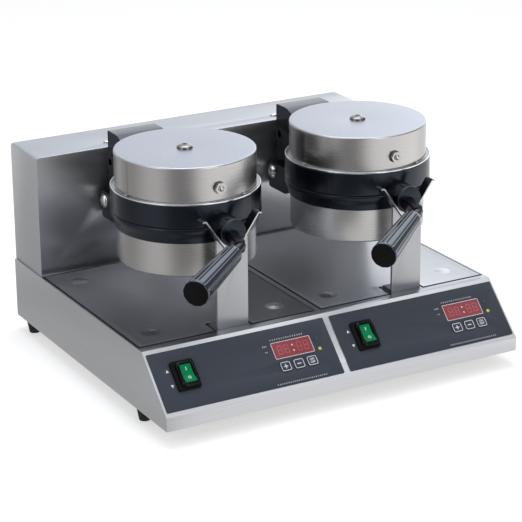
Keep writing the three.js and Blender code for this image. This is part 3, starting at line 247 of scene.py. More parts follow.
# The grids: dark brown seasoned iron with a sandy grain.
grid_iron = speckled("cast_iron_seasoned", "#1b1714", "#332d28", 0.3, (0.38, 0.55), 0.002, 0.00004)
print("materials so far", len(bpy.data.materials))

# %% [markdown]
# ## Bright metal, lenses and prints
# Bolts, screws and cut edges are bare metal, each with its own polish. The lenses are clear-coloured
# plastics, which glass-like shading could show. Nothing is seen through them, so plain coloured surfaces
# do, and they also stay clean in a small render. The same function makes them all.

# %% Small finishes
# The cross bolts' dome ends, tower screws and rim clips: bright and nearly mirror-like.
bright = speckled("stainless_polished_bolt", "#c9c7c3", "#dedcd8", 1.0, (0.06, 0.12), 0.002, 0.000004)
# The drums' hexagon bolts: sharp light and dark faces.
bolt_steel = speckled("stainless_hexagon_bolt", "#b4b2ae", "#c6c4c0", 1.0, (0.04, 0.08), 0.002, 0)
# The lids' screws: darker and a little dull.
screw_steel = speckled("stainless_dull_screw", "#7e7c79", "#8c8a87", 1.0, (0.14, 0.2), 0.002, 0)
# The trays' dimples: a paler copy of the tray's steel, a painted highlight that makes pale spots on the dark
# sheet.
dimple_painted_highlight = speckled("stainless_dimple_painted_highlight", "#acaeb3", "#b6b8bd", 1.0, (0.26, 0.3), 0.002, 0)
# The trays' rims and the bolts' collars: painted shade, a dark line for the shadow gap round them.
painted_shade_line = speckled("stainless_painted_shade_line", "#18191b", "#222326", 0.6, (0.5, 0.6), 0.002, 0)
# The saddles' sawn edges: a bright line along the black strip.
edge_steel = speckled("steel_bare_cut_edge", "#b9b9b9", "#d6d6d6", 1.0, (0.2, 0.35), 0.001, 0.00001)
# The bottom plate and the bearings: dull grey zinc.
zinc = speckled("zinc_plated_dull", "#8f908c", "#a9aaa5", 0.9, (0.4, 0.55), 0.004, 0.00001)
# The control boards: green lacquer.
board_green = speckled("fr4_board_green", "#12431f", "#1d5a2c", 0.0, (0.45, 0.6), 0.003, 0)
# The rockers: green lenses, with painted shade that makes them darker where their edges are rounded.
rocker_green = speckled("polycarbonate_green_lens", "#02804c", "#048a56", 0.0, (0.2, 0.3), 0.006, 0,
                        Specular_IOR_Level=0.06)
rocker_edge_painted_shade = speckled("polycarbonate_green_lens_edge_painted_shade", "#013a24", "#02452c", 0.0, (0.12, 0.2), 0.006, 0,
                       Specular_IOR_Level=0.4)
# The displays: a red window, with unlit digits that are a little paler.
display_red = speckled("acrylic_red_window", "#913f47", "#9a474e", 0.0, (0.2, 0.3), 0.005, 0,
                       Specular_IOR_Level=0.25)
digit_red = speckled("segment_unlit_red", "#a8575f", "#af5e66", 0.0, (0.25, 0.3), 0.004, 0)
# The lamps: a yellow dome, and a small dark green one.
lamp_yellow = speckled("epoxy_lamp_yellow", "#b9bd3e", "#d8dc5c", 0.0, (0.15, 0.25), 0.001, 0)
lamp_green = speckled("epoxy_lamp_green_unlit", "#1f4d44", "#275c50", 0.0, (0.2, 0.3), 0.001, 0)
# The prints: flat white ink.
print_white = speckled("screen_print_white", "#d9dade", "#e9eaee", 0.0, (0.4, 0.5), 0.001, 0)
print("materials so far", len(bpy.data.materials))

# %% [markdown]
# ## Shapes from formulas
# A turned part is a profile of radius and height that goes round an axis. A bent or sawn part is an
# outline that is carried along a straight line. Blender's own Screw modifier and Extrude could make both,
# but whole arrays of points are quicker and say exactly where each point lies. A corner of an outline is
# rounded with a parabola that touches both edges at the same distance from the corner.

# %% Outlines
def rounded(points, radius, steps=4):
    """Each corner C becomes the curve (1-t)^2 A + 2t(1-t) C + t^2 B. A and B lie on its edges near it."""
    points = np.asarray(points, float)
    reach = np.broadcast_to(np.asarray(radius, float), len(points))[:, None]
    before = np.roll(points, 1, 0) - points
    after = np.roll(points, -1, 0) - points
    long_before, long_after = (np.linalg.norm(way, axis=1)[:, None] for way in (before, after))
    a = points + before / long_before * np.minimum(reach, long_before * 0.49)
    b = points + after / long_after * np.minimum(reach, long_after * 0.49)
    t = np.linspace(0, 1, steps + 1)[None, :, None]
    curve = (1 - t) ** 2 * a[:, None] + 2 * t * (1 - t) * points[:, None] + t ** 2 * b[:, None]
    return curve.reshape(-1, 2)


def arc(cx, cy, radius, start, stop, steps=24):
    """Points at equal angles in degrees on a circle."""
    angle = np.radians(np.linspace(start, stop, steps + 1))
    return np.stack([cx + radius * np.cos(angle), cy + radius * np.sin(angle)], 1)


def rectangle(width, length, x=0.0, y=0.0):
    """The four corners of a rectangle about its middle."""
    return np.array([[-1, -1], [1, -1], [1, 1], [-1, 1]]) * [width / 2, length / 2] + [x, y]


print("a rounded square has", len(rounded(rectangle(1, 1), 0.1)), "points")

# %% Turned shapes
LARGE_ROUND, SMALL_ROUND = 160, 48


def quads(rows, columns):
    """The faces of a closed grid: each joins two neighbours in a row with the two beside them further on."""
    row, column = np.meshgrid(np.arange(rows - 1), np.arange(columns), indexing="ij")
    beside = (column + 1) % columns
    corners = [row * columns + column, row * columns + beside, (row + 1) * columns + beside,
               (row + 1) * columns + column]
    return np.stack([corner.ravel() for corner in corners], 1).tolist()


def end_faces(total, count):
    """One flat face over the first row of points and one, the other way round, over the last."""
    return [list(range(count)), list(range(total - 1, total - count - 1, -1))]


def turned(profile, sides=SMALL_ROUND):
    """(r cos a, r sin a, z) for each profile point (r, z) and each of the equal angles a."""
    profile = np.asarray(profile, float)
    angle = np.arange(sides) / sides * 2 * math.pi
    r, z = profile[:, :1], profile[:, 1:]
    points = np.stack([r * np.cos(angle), r * np.sin(angle), z + 0 * angle], 2).reshape(-1, 3)
    return points, quads(len(profile), sides)


def turned_closed(outline, sides=LARGE_ROUND):
    """A ring: the closed outline of (radius, height) points goes round, and its last row is its first."""
    outline = np.asarray(outline, float)
    return turned(np.concatenate([outline, outline[:1]]), sides)


print("a turned pair of points has", len(turned([[1, 0], [1, 1]])[1]), "faces")

# %% Carried and moved shapes
def carried(outline, start, stop, axes):
    """A closed outline (u, v) at w = start and again at w = stop, with walls and two flat ends.
    axes says which of x, y and z are u, v and w."""
    outline = np.asarray(outline, float)
    u, v, w = axes
    count = len(outline)
    points = np.zeros((2, count, 3))
    points[:, :, u] = outline[:, 0]
    points[:, :, v] = outline[:, 1]
    points[0, :, w] = start
    points[1, :, w] = stop
    return points.reshape(-1, 3), quads(2, count) + end_faces(2 * count, count)


def along_x(outline, start, stop):
    """An outline of (y, z) points carried along x."""
    return carried(outline, start, stop, (1, 2, 0))


def along_y(outline, start, stop):
    """An outline of (x, z) points carried along y."""
    return carried(outline, start, stop, (0, 2, 1))


def along_z(outline, start, stop):
    """An outline of (x, y) points carried along z."""
    return carried(outline, start, stop, (0, 1, 2))


def shifted(shape, x=0.0, y=0.0, z=0.0):
    """The shape with every point moved by one step."""
    return shape[0] + np.array([x, y, z]), shape[1]


def turned_by(shape, matrix):
    """The shape with every point p carried to R p + t."""
    matrix = np.array(matrix, float)
    return shape[0] @ matrix[:3, :3].T + matrix[:3, 3], shape[1]


print("a carried square has", len(along_z(rectangle(1, 1), 0, 1)[1]), "faces")

# %% [markdown]
# ## From points to a piece
# A piece may be several closed shells, as a casting with arms is. A Boolean modifier could fuse them, but
# it often leaves thin stray faces, and shells that only sink into each other look the same. Shapes are
# drawn in millimetres about a handy place, such as a head's flip axis, and one matrix carries them to
# their place in metres. The mesh then holds the place, and the object stays at the origin, so that
# patterns on Object coordinates don't slide.

# %% Soft edges and finishes
SHARP_ANGLE = math.radians(30)


def at(x, y, z):
    """The matrix from millimetres about a place in metres to metres."""
    return Matrix.Translation((x, y, z)) @ Matrix.Scale(MM, 4)


def soften(piece, width, segments):
    """Rounds every edge sharper than 30 degrees by a width in millimetres, and keeps the flats flat."""
    rounding = piece.modifiers.new("rounded_edges", "BEVEL")
    rounding.width = width * MM
    rounding.segments = segments
    rounding.limit_method = "ANGLE"
    rounding.angle_limit = SHARP_ANGLE
    rounding.harden_normals = True


def finish_faces(mesh, finishes, choose):
    """Gives a mesh its finishes. choose maps an array of face normals and an array of face middles to the
    number of each face's finish; without it every face has the first."""
    mesh.materials.clear()
    for finish in finishes:
        mesh.materials.append(finish)
    picks = np.zeros(len(mesh.polygons), np.int32)
    if choose:
        normals, middles = (np.zeros(len(mesh.polygons) * 3, np.float32) for _ in range(2))
        mesh.polygons.foreach_get("normal", normals)
        mesh.polygons.foreach_get("center", middles)
        picks = np.asarray(choose(normals.reshape(-1, 3), middles.reshape(-1, 3)), np.int32)
    mesh.polygons.foreach_set("material_index", picks)


print("a millimetre is", at(0, 0, 0)[0][0], "m")

# %% Make a piece
def make_piece(name, shapes, place, body, finishes, stands_for=(), bevel=0.0, segments=3,
               crease=40, choose=None):
    """Joins shells into one mesh, merges doubled points, turns faces outwards, and rides the piece on its
    body. Edges are rounded by the bevel in millimetres, or else look sharp from the crease in degrees."""
    count, vertices, faces = 0, [], []
    for points, corners in shapes:
        vertices.append(points)
        faces += [[corner + count for corner in face] for face in corners]
        count += len(points)
    vertices = turned_by((np.concatenate(vertices), None), place)[0]
    mesh = bpy.data.meshes.new(name)
    mesh.from_pydata(vertices.tolist(), [], faces)
    work = bmesh.new()
    work.from_mesh(mesh)
    bmesh.ops.remove_doubles(work, verts=work.verts, dist=2e-6)
    bmesh.ops.dissolve_degenerate(work, edges=work.edges, dist=1e-6)
    bmesh.ops.recalc_face_normals(work, faces=work.faces)
    work.to_mesh(mesh)
    work.free()
    finish_faces(mesh, finishes, choose)
    mesh.shade_smooth()
    piece = bpy.data.objects.new(name, mesh)
    bpy.context.scene.collection.objects.link(piece)
    if bevel:
        soften(piece, bevel, segments)
    else:
        mesh.set_sharp_from_angle(angle=math.radians(crease))
    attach(piece, body)
    if stands_for:
        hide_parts(*stands_for)
    return piece


print("piece maker ready for", len(nodes), "nodes")

# %% [markdown]
# ## Sheet-metal parts that keep their solid
# The base, the tower, its rear cover and the posts are folded sheet. They could be modelled again, but
# their solids have the right shape already. A CAD solid is a bag of loose triangles, so before its edges
# can be rounded, the Weld modifier joins the triangles, and Decimate in its planar mode takes away the
# lines inside each flat face. Bevel then gives the folded sheet its small bend radius, which catches the
# light as a thin bright line. The grids and bearings get the same, and the boards and the bottom plate get
# only a finish.

# %% Dress the sheet-metal solids
WELD_DISTANCE = 0.00001
FLAT_ANGLE = math.radians(0.5)


def dress(node, *finishes, bevel=0.0, segments=2, choose=None):
    """Gives a CAD solid its finishes, and rounds its edges where a width in millimetres is given."""
    piece = nodes[node]
    finish_faces(piece.data, finishes, choose)
    if bevel:
        piece.data.shade_smooth()
        weld = piece.modifiers.new("joined_triangles", "WELD")
        weld.merge_threshold = WELD_DISTANCE
        flat = piece.modifiers.new("whole_flats", "DECIMATE")
        flat.decimate_type = "DISSOLVE"
        flat.angle_limit = FLAT_ANGLE
        flat.delimit = {"MATERIAL"}
        soften(piece, bevel, segments)


def faces_up(normals, middles):
    """1 for a face that looks up, otherwise 0. The 45 degree slope counts as a side."""
    return normals[:, 2] > 0.75


# Faces that look up get the top finish, whose darker, cooler grey is painted light from above.
for shell in ("base_shell", "tower_shell"):
    dress(shell, brushed_sheet, top_sheet_painted_light, bevel=0.8, segments=3, choose=faces_up)
dress("tower_back_cover", brushed_sheet, bevel=0.4)
dress("bottom_plate", zinc)
for side in SIDES:
    dress(f"post_{side}", brushed_post, bevel=0.6, segments=3)
    dress(f"bearing_{side}", zinc, bevel=0.8)
    dress(f"control_board_{side}", board_green)
    for half in ("lower", "upper"):
        dress(f"{half}_grid_{side}", grid_iron, bevel=0.7)
print("dressed", sum(len(node.modifiers) > 0 for node in nodes.values()), "solids with rounded edges")

# %% [markdown]
# ## Drum covers
# Each head hides its heater under a steel can. The upper can has a flat flange that rests on the ring, and
# the flange ends in a low lip that stands up round it. The wall is one sheet that laps over
# itself in an upright seam on the left, and two small clips hold its foot. A cylinder with a bevel could
# stand for the can, but the flange, the lip and the rounded shoulder are all in its section, so one turned
# outline draws them together. The sides carry the level brush marks, and the lid is a plain satin disc in a
# cooler, darker grey, which is painted light from above. The flange is painted darker, as shade, and the lip
# is painted bright, as a highlight, the brightest line on the head, so the upper can has four finishes,
# picked by which way each face looks and where it lies.

# %% Drum shapes
# Millimetres about a head's middle on its flip axis: x to the right, y to the back, z up.
SHEET = 1.2
UPPER_RING, LOWER_RING = 29.5, 18.0
DRUM_RADIUS, LOWER_DRUM_RADIUS = 89.6, 88.2
DRUM_TALL = 46.5
LIP_RADIUS = 95.0
SCREW_HOLE = 3.3


def head_place(side):
    """The matrix that carries millimetres about a head's middle, on its flip axis, to its place."""
    return at(*joints[f"flip_{side}"]["pos_m"])


def upper_drum():
    """The outline of the can's wall: lid, rounded shoulder, side, flange, lip, and back along the inside."""
    r, low, top = DRUM_RADIUS, UPPER_RING, UPPER_RING + DRUM_TALL
    ledge, crest = low + 0.8, low + 1.7
    outline = [[SCREW_HOLE, top], [r, top], [r, ledge], [LIP_RADIUS - 1, ledge], [LIP_RADIUS - 1, crest],
               [LIP_RADIUS, crest], [LIP_RADIUS, low], [r - SHEET, low], [r - SHEET, top - SHEET],
               [SCREW_HOLE, top - SHEET]]
    corner_radii = [0.1, 2.4, 0.8, 0.3, 0.4, 0.4, 0.3, 0.3, 1.4, 0.1]
    return turned_closed(rounded(outline, corner_radii, 6))


def on_wall(radius, angle, wide, low, high, thick):
    """A curved strip on the can's wall: two arcs about the axis, drawn up from low to high."""
    half = math.degrees(wide / 2 / radius)
    outline = np.concatenate([arc(0, 0, radius + thick, angle - half, angle + half, 6),
                              arc(0, 0, radius - 0.3, angle + half, angle - half, 6)])
    return along_z(outline, low, high)


def lower_drum():
    """A can that is open at its top: floor, bend, wall, and back along the inside."""
    r, top, bend = LOWER_DRUM_RADIUS, -LOWER_RING, 2.6
    low = top - DRUM_TALL
    outside = arc(r - bend, low + bend, bend, -90, 0, 6)
    inside = arc(r - bend, low + bend, bend - SHEET, 0, -90, 6)
    wall = np.concatenate([[[0, low]], outside, [[r, top], [r - SHEET, top]], inside, [[0, low + SHEET]]])
    return turned(wall, LARGE_ROUND)


print("upper can", len(upper_drum()[0]), "points, lower can", len(lower_drum()[0]))

# %% Drums
def drum_faces(normals, middles):
    """0 for the sides, 1 for the flat lid and floor, 2 for the flange and 3 for the lip that stands up."""
    axes = np.array([joints[f"flip_{side}"]["pos_m"] for side in SIDES])
    height = (middles[:, 2] - axes[0, 2]) / MM
    across = np.min(np.abs(middles[:, :1] - axes[:, 0]), axis=1)
    reach = np.hypot(across, middles[:, 1] - axes[0, 1]) / MM
    level = np.abs(normals[:, 2]) > 0.8
    flange = np.abs(height) < UPPER_RING + 1.3
    above_flange = (height > UPPER_RING + 1.3) & (height < UPPER_RING + 3)
    lip = (height > UPPER_RING - 0.1) & (height < UPPER_RING + 3) & (reach > LIP_RADIUS - 0.9)
    return np.where(lip, 3, level * (1 + flange) * ~above_flange)


# The lid and the floor: the same steel in a cooler, darker grey, painted light from above.
drum_top_painted_light = speckled("stainless_304_satin_lid_painted_light", "#9fa3af", "#a7abb7", 1.0, (0.28, 0.32), 0.006, 0)
# The flange: the same steel painted darker, as shade.
drum_flange_painted_shade = speckled("stainless_304_flange_painted_shade", "#84868c", "#909298", 1.0, (0.16, 0.22), 0.004, 0)
# The lip: the same steel painted bright, as a highlight.
drum_lip_painted_highlight = speckled("stainless_304_lip_painted_highlight", "#e2e3e6", "#eeeff2", 1.0, (0.12, 0.16), 0.004, 0)
SEAM_ANGLE, CLIP_ANGLES = -173, (-171, -65)
for side in SIDES:
    place = head_place(side)
    seam = on_wall(DRUM_RADIUS, SEAM_ANGLE, 9, UPPER_RING + 3, UPPER_RING + 43, 0.35)
    make_piece(f"drum_upper_{side}", [upper_drum(), seam], place, f"lid_{side}",
               [brushed_drum, drum_top_painted_light, drum_flange_painted_shade, drum_lip_painted_highlight], [f"upper_drum_{side}"],
               crease=35, choose=drum_faces)
    make_piece(f"drum_lower_{side}", [lower_drum()], place, f"head_{side}",
               [brushed_drum, drum_top_painted_light, drum_flange_painted_shade], [f"lower_drum_{side}"],
               crease=35, choose=drum_faces)
    clips = [on_wall(90, angle, 4.5, UPPER_RING + 0.6, UPPER_RING + 3.4, 2.6) for angle in CLIP_ANGLES]
    make_piece(f"rim_clips_{side}", clips, place, f"lid_{side}", [bright], bevel=0.5)

# %% [markdown]
# ## Rings, half trunnions, lugs and arms
# Two cast rings hold the batter between them. Each has half of the round trunnion at its front. The upper
# one also carries the lug for the handle and, at the back, two arms to the lid's pivot. The lower one has
# a skirt over the drum and two lugs that the cross bolt clamps to the hinge block. A real casting is one
# skin, which could be sculpted, but each of these forms has a plain section or side view. So they are
# closed shells in one piece, with rounded edges as a casting has.

# %% Ring shapes
TRUNNION = 17.5
TRUNNION_FACE, TRUNNION_ROOT = -126.0, -88
PART = 0.15
PIVOT_Y, PIVOT_Z = 134, 27.5
BLOCK_LOW = -51.5
ARM_INSIDE, ARM_OUTSIDE, LUG_OUTSIDE = 33.8, 40.8, 44.8


def ring_band(outline, radii):
    """A ring from the outline of its section, with each corner rounded by its own radius."""
    return turned_closed(rounded(outline, radii, 5))


def half_round(sign):
    """Half a disc above or below the parting plane, carried along y, with a rounded front rim."""
    angles = np.radians(np.linspace(0, 180, 41))
    front = TRUNNION_FACE
    steps = ((1.4, front), (0.7, front + 0.25), (0.2, front + 0.9), (0, front + 1.8), (0, TRUNNION_ROOT))
    rows = []
    for inset, y in steps:
        r = TRUNNION - inset
        x = r * np.cos(angles)
        z = PART + (r - PART) * np.sin(angles)
        rows.append(np.stack([x, np.full_like(x, y), sign * z], 1))
    points = np.concatenate(rows)
    return points, quads(len(rows), len(angles)) + end_faces(len(points), len(angles))


def lug():
    """The handle lug: a rounded block that leans to the left as it comes forward, and its root."""
    outline = rounded([[-9, -14], [5, -14], [5, 3.5], [-9, 3.5]], [5, 5, 4, 4], 6)
    points, faces = along_y(outline, TRUNNION_FACE - 34, TRUNNION_FACE - 0.3)
    points[:, 0] += 0.25 * (points[:, 1] - TRUNNION_FACE)
    root = rounded([[-9, PART], [5, PART], [5, 2.5], [-9, 2.5]], [0.4, 0.4, 1, 1], 3)
    return [(points, faces), along_y(root, TRUNNION_FACE - 1, -120)]


def lid_arm(sign):
    """An arm's side view: from the ring's rear up to a round end about the lid's pivot."""
    outline = np.concatenate([[[84, 12]], arc(PIVOT_Y, PIVOT_Z, 10, -90, 90),
                              [[91, UPPER_RING], [84, UPPER_RING]]])
    return along_x(outline, sign * ARM_INSIDE, sign * ARM_OUTSIDE)


def rear_lug(sign):
    """A lug's side view: it slopes down from the ring and ends square behind the cross bolt."""
    outline = rounded([[81.8, -LOWER_RING], [111, BLOCK_LOW], [156, BLOCK_LOW], [156, -15], [98.8, -15],
                       [81.8, -PART]], [1, 3, 5, 5, 4, 1], 5)
    return along_x(outline, sign * ARM_INSIDE, sign * LUG_OUTSIDE)


print("half trunnion", len(half_round(1)[0]), "points")

# %% Rings
upper_band = ring_band([[86.5, PART], [95.7, PART], [95, UPPER_RING], [87, UPPER_RING], [87, 14],
                        [84.5, 14]], [0.6, 1.8, 1.4, 0.5, 0.5, 1.0])
lower_band = ring_band([[86.5, -PART], [84.5, -14], [87, -14], [87, -LOWER_RING], [88.6, -LOWER_RING],
                        [88.6, -21], [90.4, -21], [92.4, -13], [95.7, -5], [95.7, -PART]],
                       [0.6, 1.0, 0.5, 0.4, 0.4, 0.5, 1.2, 3, 3, 2.4])
for side in SIDES:
    make_piece(f"ring_upper_{side}", [upper_band, half_round(1), *lug(), lid_arm(-1), lid_arm(1)],
               head_place(side), f"lid_{side}", [satin_black], [f"upper_ring_{side}"],
               bevel=0.9)
    make_piece(f"ring_lower_{side}", [lower_band, half_round(-1), rear_lug(-1), rear_lug(1)],
               head_place(side), f"head_{side}", [satin_black], [f"lower_ring_{side}"],
               bevel=0.9)

# %% [markdown]
# ## Hinge block and cross bolt
# The black block behind each head turns in the tower on a thick shaft. Its front is round about the lid's
# pivot, so that the lid clears it while it swings up. A bolt with two domed nuts runs through the block
# and the lower lugs. A UV sphere could be the dome, but its poles would point the wrong way, so the nut is
# turned from its own section.

# %% Hinge block shapes
BLOCK_ROUND, BLOCK_BACK = 37, 155
BLOCK_HALF = 33.5
CROSS_BOLT_Y, CROSS_BOLT_Z = 146, -27.5
CHAMFER = 0.4


def round_bar(radius, start, stop, axis):
    """A solid bar about one axis, with a small chamfer at each end."""
    profile = [[0, start], [radius - CHAMFER, start], [radius, start + CHAMFER], [radius, stop - CHAMFER],
               [radius - CHAMFER, stop], [0, stop]]
    points, faces = turned(profile)
    order = {"x": (2, 0, 1), "y": (1, 2, 0), "z": (0, 1, 2)}[axis]
    return points[:, order], faces


def domed_nut(sign):
    """Washer, waist and dome of the nut at one end of the cross bolt."""
    x = LUG_OUTSIDE
    dome = arc(0, 0, 1, 0, 90, 8) * [7.6, 4.2] + [0, x + 1.4]
    washer = [[0, x - 3], [5, x - 3], [5, x], [9.0, x], [9.2, x + 0.3], [9.2, x + 1.1], [8.9, x + 1.4]]
    points, faces = turned(np.concatenate([washer, dome]))
    return points[:, (2, 0, 1)] * [sign, 1, 1], faces


def hinge_block():
    """The block's side view, the shaft, the two pivot pins as one bar, and the stop dog."""
    front, top = PIVOT_Y - BLOCK_ROUND, PIVOT_Z + BLOCK_ROUND
    foot = rounded([[front, 0], [front, BLOCK_LOW], [BLOCK_BACK, BLOCK_LOW], [BLOCK_BACK, top],
                    [PIVOT_Y, top]], [0.1, 2, 2, 3, 0.1], 5)
    outline = np.concatenate([foot, arc(PIVOT_Y, PIVOT_Z, BLOCK_ROUND, 90, 180, 32)])
    pins = shifted(round_bar(5, -ARM_OUTSIDE, ARM_OUTSIDE, "x"), y=PIVOT_Y, z=PIVOT_Z)
    dog = along_y(rectangle(24, 8, -12, 0), 197.8, 206.8)
    return [along_x(outline, -BLOCK_HALF, BLOCK_HALF), round_bar(12.5, 142, 217, "y"), pins, dog]


print("block", sum(len(points) for points, faces in hinge_block()), "points")

# %% Hinge blocks and bolts
for side in SIDES:
    # The blocks' tops take the painted light of the top finish.
    make_piece(f"block_{side}", hinge_block(), head_place(side), f"head_{side}", [satin_black, block_top_painted_light],
               [f"hinge_block_{side}"], bevel=1.3, choose=faces_up)
    bolt = [round_bar(5, -44, 44, "x"), domed_nut(-1), domed_nut(1)]
    make_piece(f"bolt_cross_{side}", [shifted(shape, y=CROSS_BOLT_Y, z=CROSS_BOLT_Z) for shape in bolt],
               head_place(side), f"head_{side}", [bright], [f"cross_bolt_{side}"], crease=30)

# %% [markdown]
# ## Handles
# A grip is a long black moulding, thicker at its outer end, with twelve flat-topped ribs and narrow
# grooves between them. A cylinder with cut grooves could do, but here the radius is simply a function of
# two things: it grows along the grip, and round it, it is that of a twelve-sided bar which dips at each
# corner. The end cap is a matt disc with a soft edge.

# %% Grip shape
GRIP_START, GRIP_LONG = 34.0, 116.4
GRIP_THIN, GRIP_GROWS = 12.4, 4.4
GRIP_SIDES, RIBS, GROOVE_DEPTH = 192, 12, 1.8
HANDLE_TURN, HANDLE_DROOP = math.radians(50.5), math.radians(5)
HANDLE_OUT, HANDLE_DOWN = 24, 4.5


def handle_place(side):
    """The handle's own frame: z runs out along the handle, which turns to the left and droops a little."""
    turn, droop = HANDLE_TURN, HANDLE_DROOP
    aim = Vector((-math.sin(turn) * math.cos(droop), -math.cos(turn) * math.cos(droop), -math.sin(droop)))
    way = Vector((0, 0, 1)).rotation_difference(aim).to_matrix().to_4x4()
    return head_place(side) @ Matrix.Translation((0, TRUNNION_FACE - HANDLE_OUT, -HANDLE_DOWN)) @ way


def grip():
    """r(s, a) = taper(s) edge(s) flat(a) - depth(s) (1 - |sin 6a|)^3 over shares s of the length and angles
    a. flat(a) = cos 15 / cos(a mod 30 - 15) makes each rib's top a flat, which mirrors one even band."""
    share = np.concatenate([[0, 0, 0.004, 0.012, 0.03], np.linspace(0.06, 0.94, 30),
                            [0.965, 0.982, 0.992, 0.998, 1]])
    edge = np.concatenate([[0, 0.80, 0.92, 0.97, 1], np.ones(30), [1, 0.995, 0.975, 0.94, 0.90]])
    taper = GRIP_THIN + GRIP_GROWS * share
    angle = np.arange(GRIP_SIDES) / GRIP_SIDES * 2 * math.pi
    rib = 2 * math.pi / RIBS
    fade = np.clip(np.minimum(share / 0.06, (1 - share) / 0.04), 0, 1)
    groove = (1 - np.abs(np.sin(RIBS / 2 * angle))) ** 3
    flat = math.cos(rib / 2) / np.cos(angle % rib - rib / 2)
    radius = (taper * edge)[:, None] * flat[None, :] - GROOVE_DEPTH * fade[:, None] * groove[None, :]
    z = np.broadcast_to((GRIP_START + share * GRIP_LONG)[:, None], radius.shape)
    points = np.stack([radius * np.cos(angle), radius * np.sin(angle), z], 2).reshape(-1, 3)
    cap = list(range(len(points) - GRIP_SIDES, len(points)))
    return points, quads(len(share), GRIP_SIDES) + [cap]


def grip_end(place):
    """Picks the matt finish for the flat outer end, by how far a face lies along the grip."""
    inverse = np.array(place.inverted(), float)

    def pick(normals, middles):
        along = middles @ inverse[:3, :3].T + inverse[:3, 3]
        return along[:, 2] > GRIP_START + GRIP_LONG - 0.35
    return pick


print("grip", len(grip()[0]), "points")

# %% Handles
for side in SIDES:
    place = handle_place(side)
    make_piece(f"grip_{side}", [grip()], place, f"lid_{side}", [grip_gloss, grip_matt],
               [f"handle_grip_{side}"], crease=50, choose=grip_end(place))
    make_piece(f"shank_{side}", [round_bar(6.6, 9, 74, "z")], place, f"lid_{side}", [satin_black],
               [f"handle_shank_{side}"], crease=30)

# %% [markdown]
# ## Saddles
# The trunnion lies in a strip that is bent to a V, with a round root and lips that roll outwards. The
# faces are black, and the sawn edges are bare bright steel. A thin curve with a Solidify modifier could
# make it, but then the cut edges could not be told apart, so the strip is drawn as the space between two
# parallel curves.

# %% Saddles
V_SLOPE = math.radians(55)
ROOT_RADIUS, LIP_ROLL, STRIP_THICK = 8, 4, 2
CREST_X = 34.5
PLAY = 0.3
STRIP_FRONT, STRIP_BACK = -123, -108


def saddle_face(depth):
    """One face of the strip: the root's arc, then the lip's arc; depth moves it out along its normal."""
    root_z = (ROOT_RADIUS - TRUNNION - PLAY) / math.cos(V_SLOPE)
    crest_z = root_z - ROOT_RADIUS / math.cos(V_SLOPE) + CREST_X * math.tan(V_SLOPE)
    lip_x = CREST_X + LIP_ROLL * math.sin(V_SLOPE)
    lip_z = crest_z - LIP_ROLL * math.cos(V_SLOPE)
    half = np.concatenate([arc(0, root_z, ROOT_RADIUS + depth, 270, 325, 10),
                           arc(lip_x, lip_z, LIP_ROLL - depth, 145, 35, 12)])
    return np.concatenate([half[:0:-1] * [-1, 1], half])


def sawn_edges(normals, middles):
    """1 for faces that look to the front or back, which are the strip's cut edges."""
    return np.abs(normals[:, 1]) > 0.8


strip = np.concatenate([saddle_face(0), saddle_face(STRIP_THICK)[::-1]])
for side in SIDES:
    make_piece(f"saddle_strip_{side}", [along_y(strip, STRIP_FRONT, STRIP_BACK)], head_place(side),
               "housing", [satin_black, edge_steel], [f"saddle_{side}"], bevel=0.25,
               segments=2, choose=sawn_edges)
print("saddle outline", len(strip), "points")

# %% [markdown]
# ## Screws on the heads and on the tower
# A low domed screw with a round socket sits in the middle of each drum's lid. A hexagon bolt stands on a
# collar at the drum's front, painted dark as shade, and button-head screws hold the bearings under the
# tower's top.
# Ready-made bolts would bring a thread that nobody sees, so only the heads and plain shanks are made.

# %% Screw shapes
BOLT_HIGH = 48


def domed_screw(radius, crown, depth, shank, socket=0.0):
    """A shank below zero and a dome above it, with a thin upright edge under the dome. A socket is a radius:
    the dome stops there and a pit goes down to half the crown's height."""
    reach = math.degrees(math.acos(socket / radius))
    dome = arc(0, 0, 1, 0, reach, 10) * [radius, crown - 0.8] + [0, 0.8]
    pit = [[socket * 0.85, crown / 2], [0, crown / 2]] if socket else []
    return turned([[0, -depth], [shank, -depth], [shank, 0], [radius, 0], *dome.tolist(), *pit])


def bolt_collar(normals, middles):
    """1 for the collar's faces, which lie within 1.25 mm of the drum's wall and get painted shade, otherwise
    0.
    """
    return middles[:, 1] > joints["flip_left"]["pos_m"][1] - (DRUM_RADIUS + 1.25) * MM


def drum_bolt():
    """Collar, hexagon with a turned crown, and stud, about the bolt's axis along y."""
    face = -DRUM_RADIUS
    head = along_y(arc(0, 0, 7.6, 0, 300, 5), face - 5.6, face - 1.2)
    points, faces = turned([[0, 0], [1.6, 0.1], [2.9, 0.7], [3.6, 1.6], [3.6, 4.4], [0, 4.4]], 32)
    crown = (points[:, (0, 2, 1)] + [0, face - 8.3, 0], faces)
    parts = [head, crown, round_bar(7.8, face - 1.3, face, "y"), round_bar(4, face - 1, face + 12, "y")]
    return [shifted(part, z=BOLT_HIGH) for part in parts]


print("drum bolt", sum(len(part[0]) for part in drum_bolt()), "points")

# %% Screws
lid_screw = shifted(domed_screw(10.4, 4.75, 55.4, 3, 3.0), z=UPPER_RING + DRUM_TALL)
for side in SIDES:
    make_piece(f"screw_lid_{side}", [lid_screw], head_place(side), f"lid_{side}", [screw_steel],
               [f"cap_screw_{side}"], crease=40)
    make_piece(f"bolt_drum_{side}", drum_bolt(), head_place(side), f"lid_{side}", [bolt_steel, painted_shade_line],
               [f"drum_bolt_{side}"], crease=30, choose=bolt_collar)
    low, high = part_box(f"tower_screw_{side}")
    spot = at((low.x + high.x) / 2, (low.y + high.y) / 2, high.z - 2.4 * MM)
    make_piece(f"screw_tower_{side}", [domed_screw(4.6, 2.4, 14, 2.5)], spot, "housing", [bright],
               [f"tower_screw_{side}"], crease=40)
print("tower screws up to", round(high.z, 4), "m")

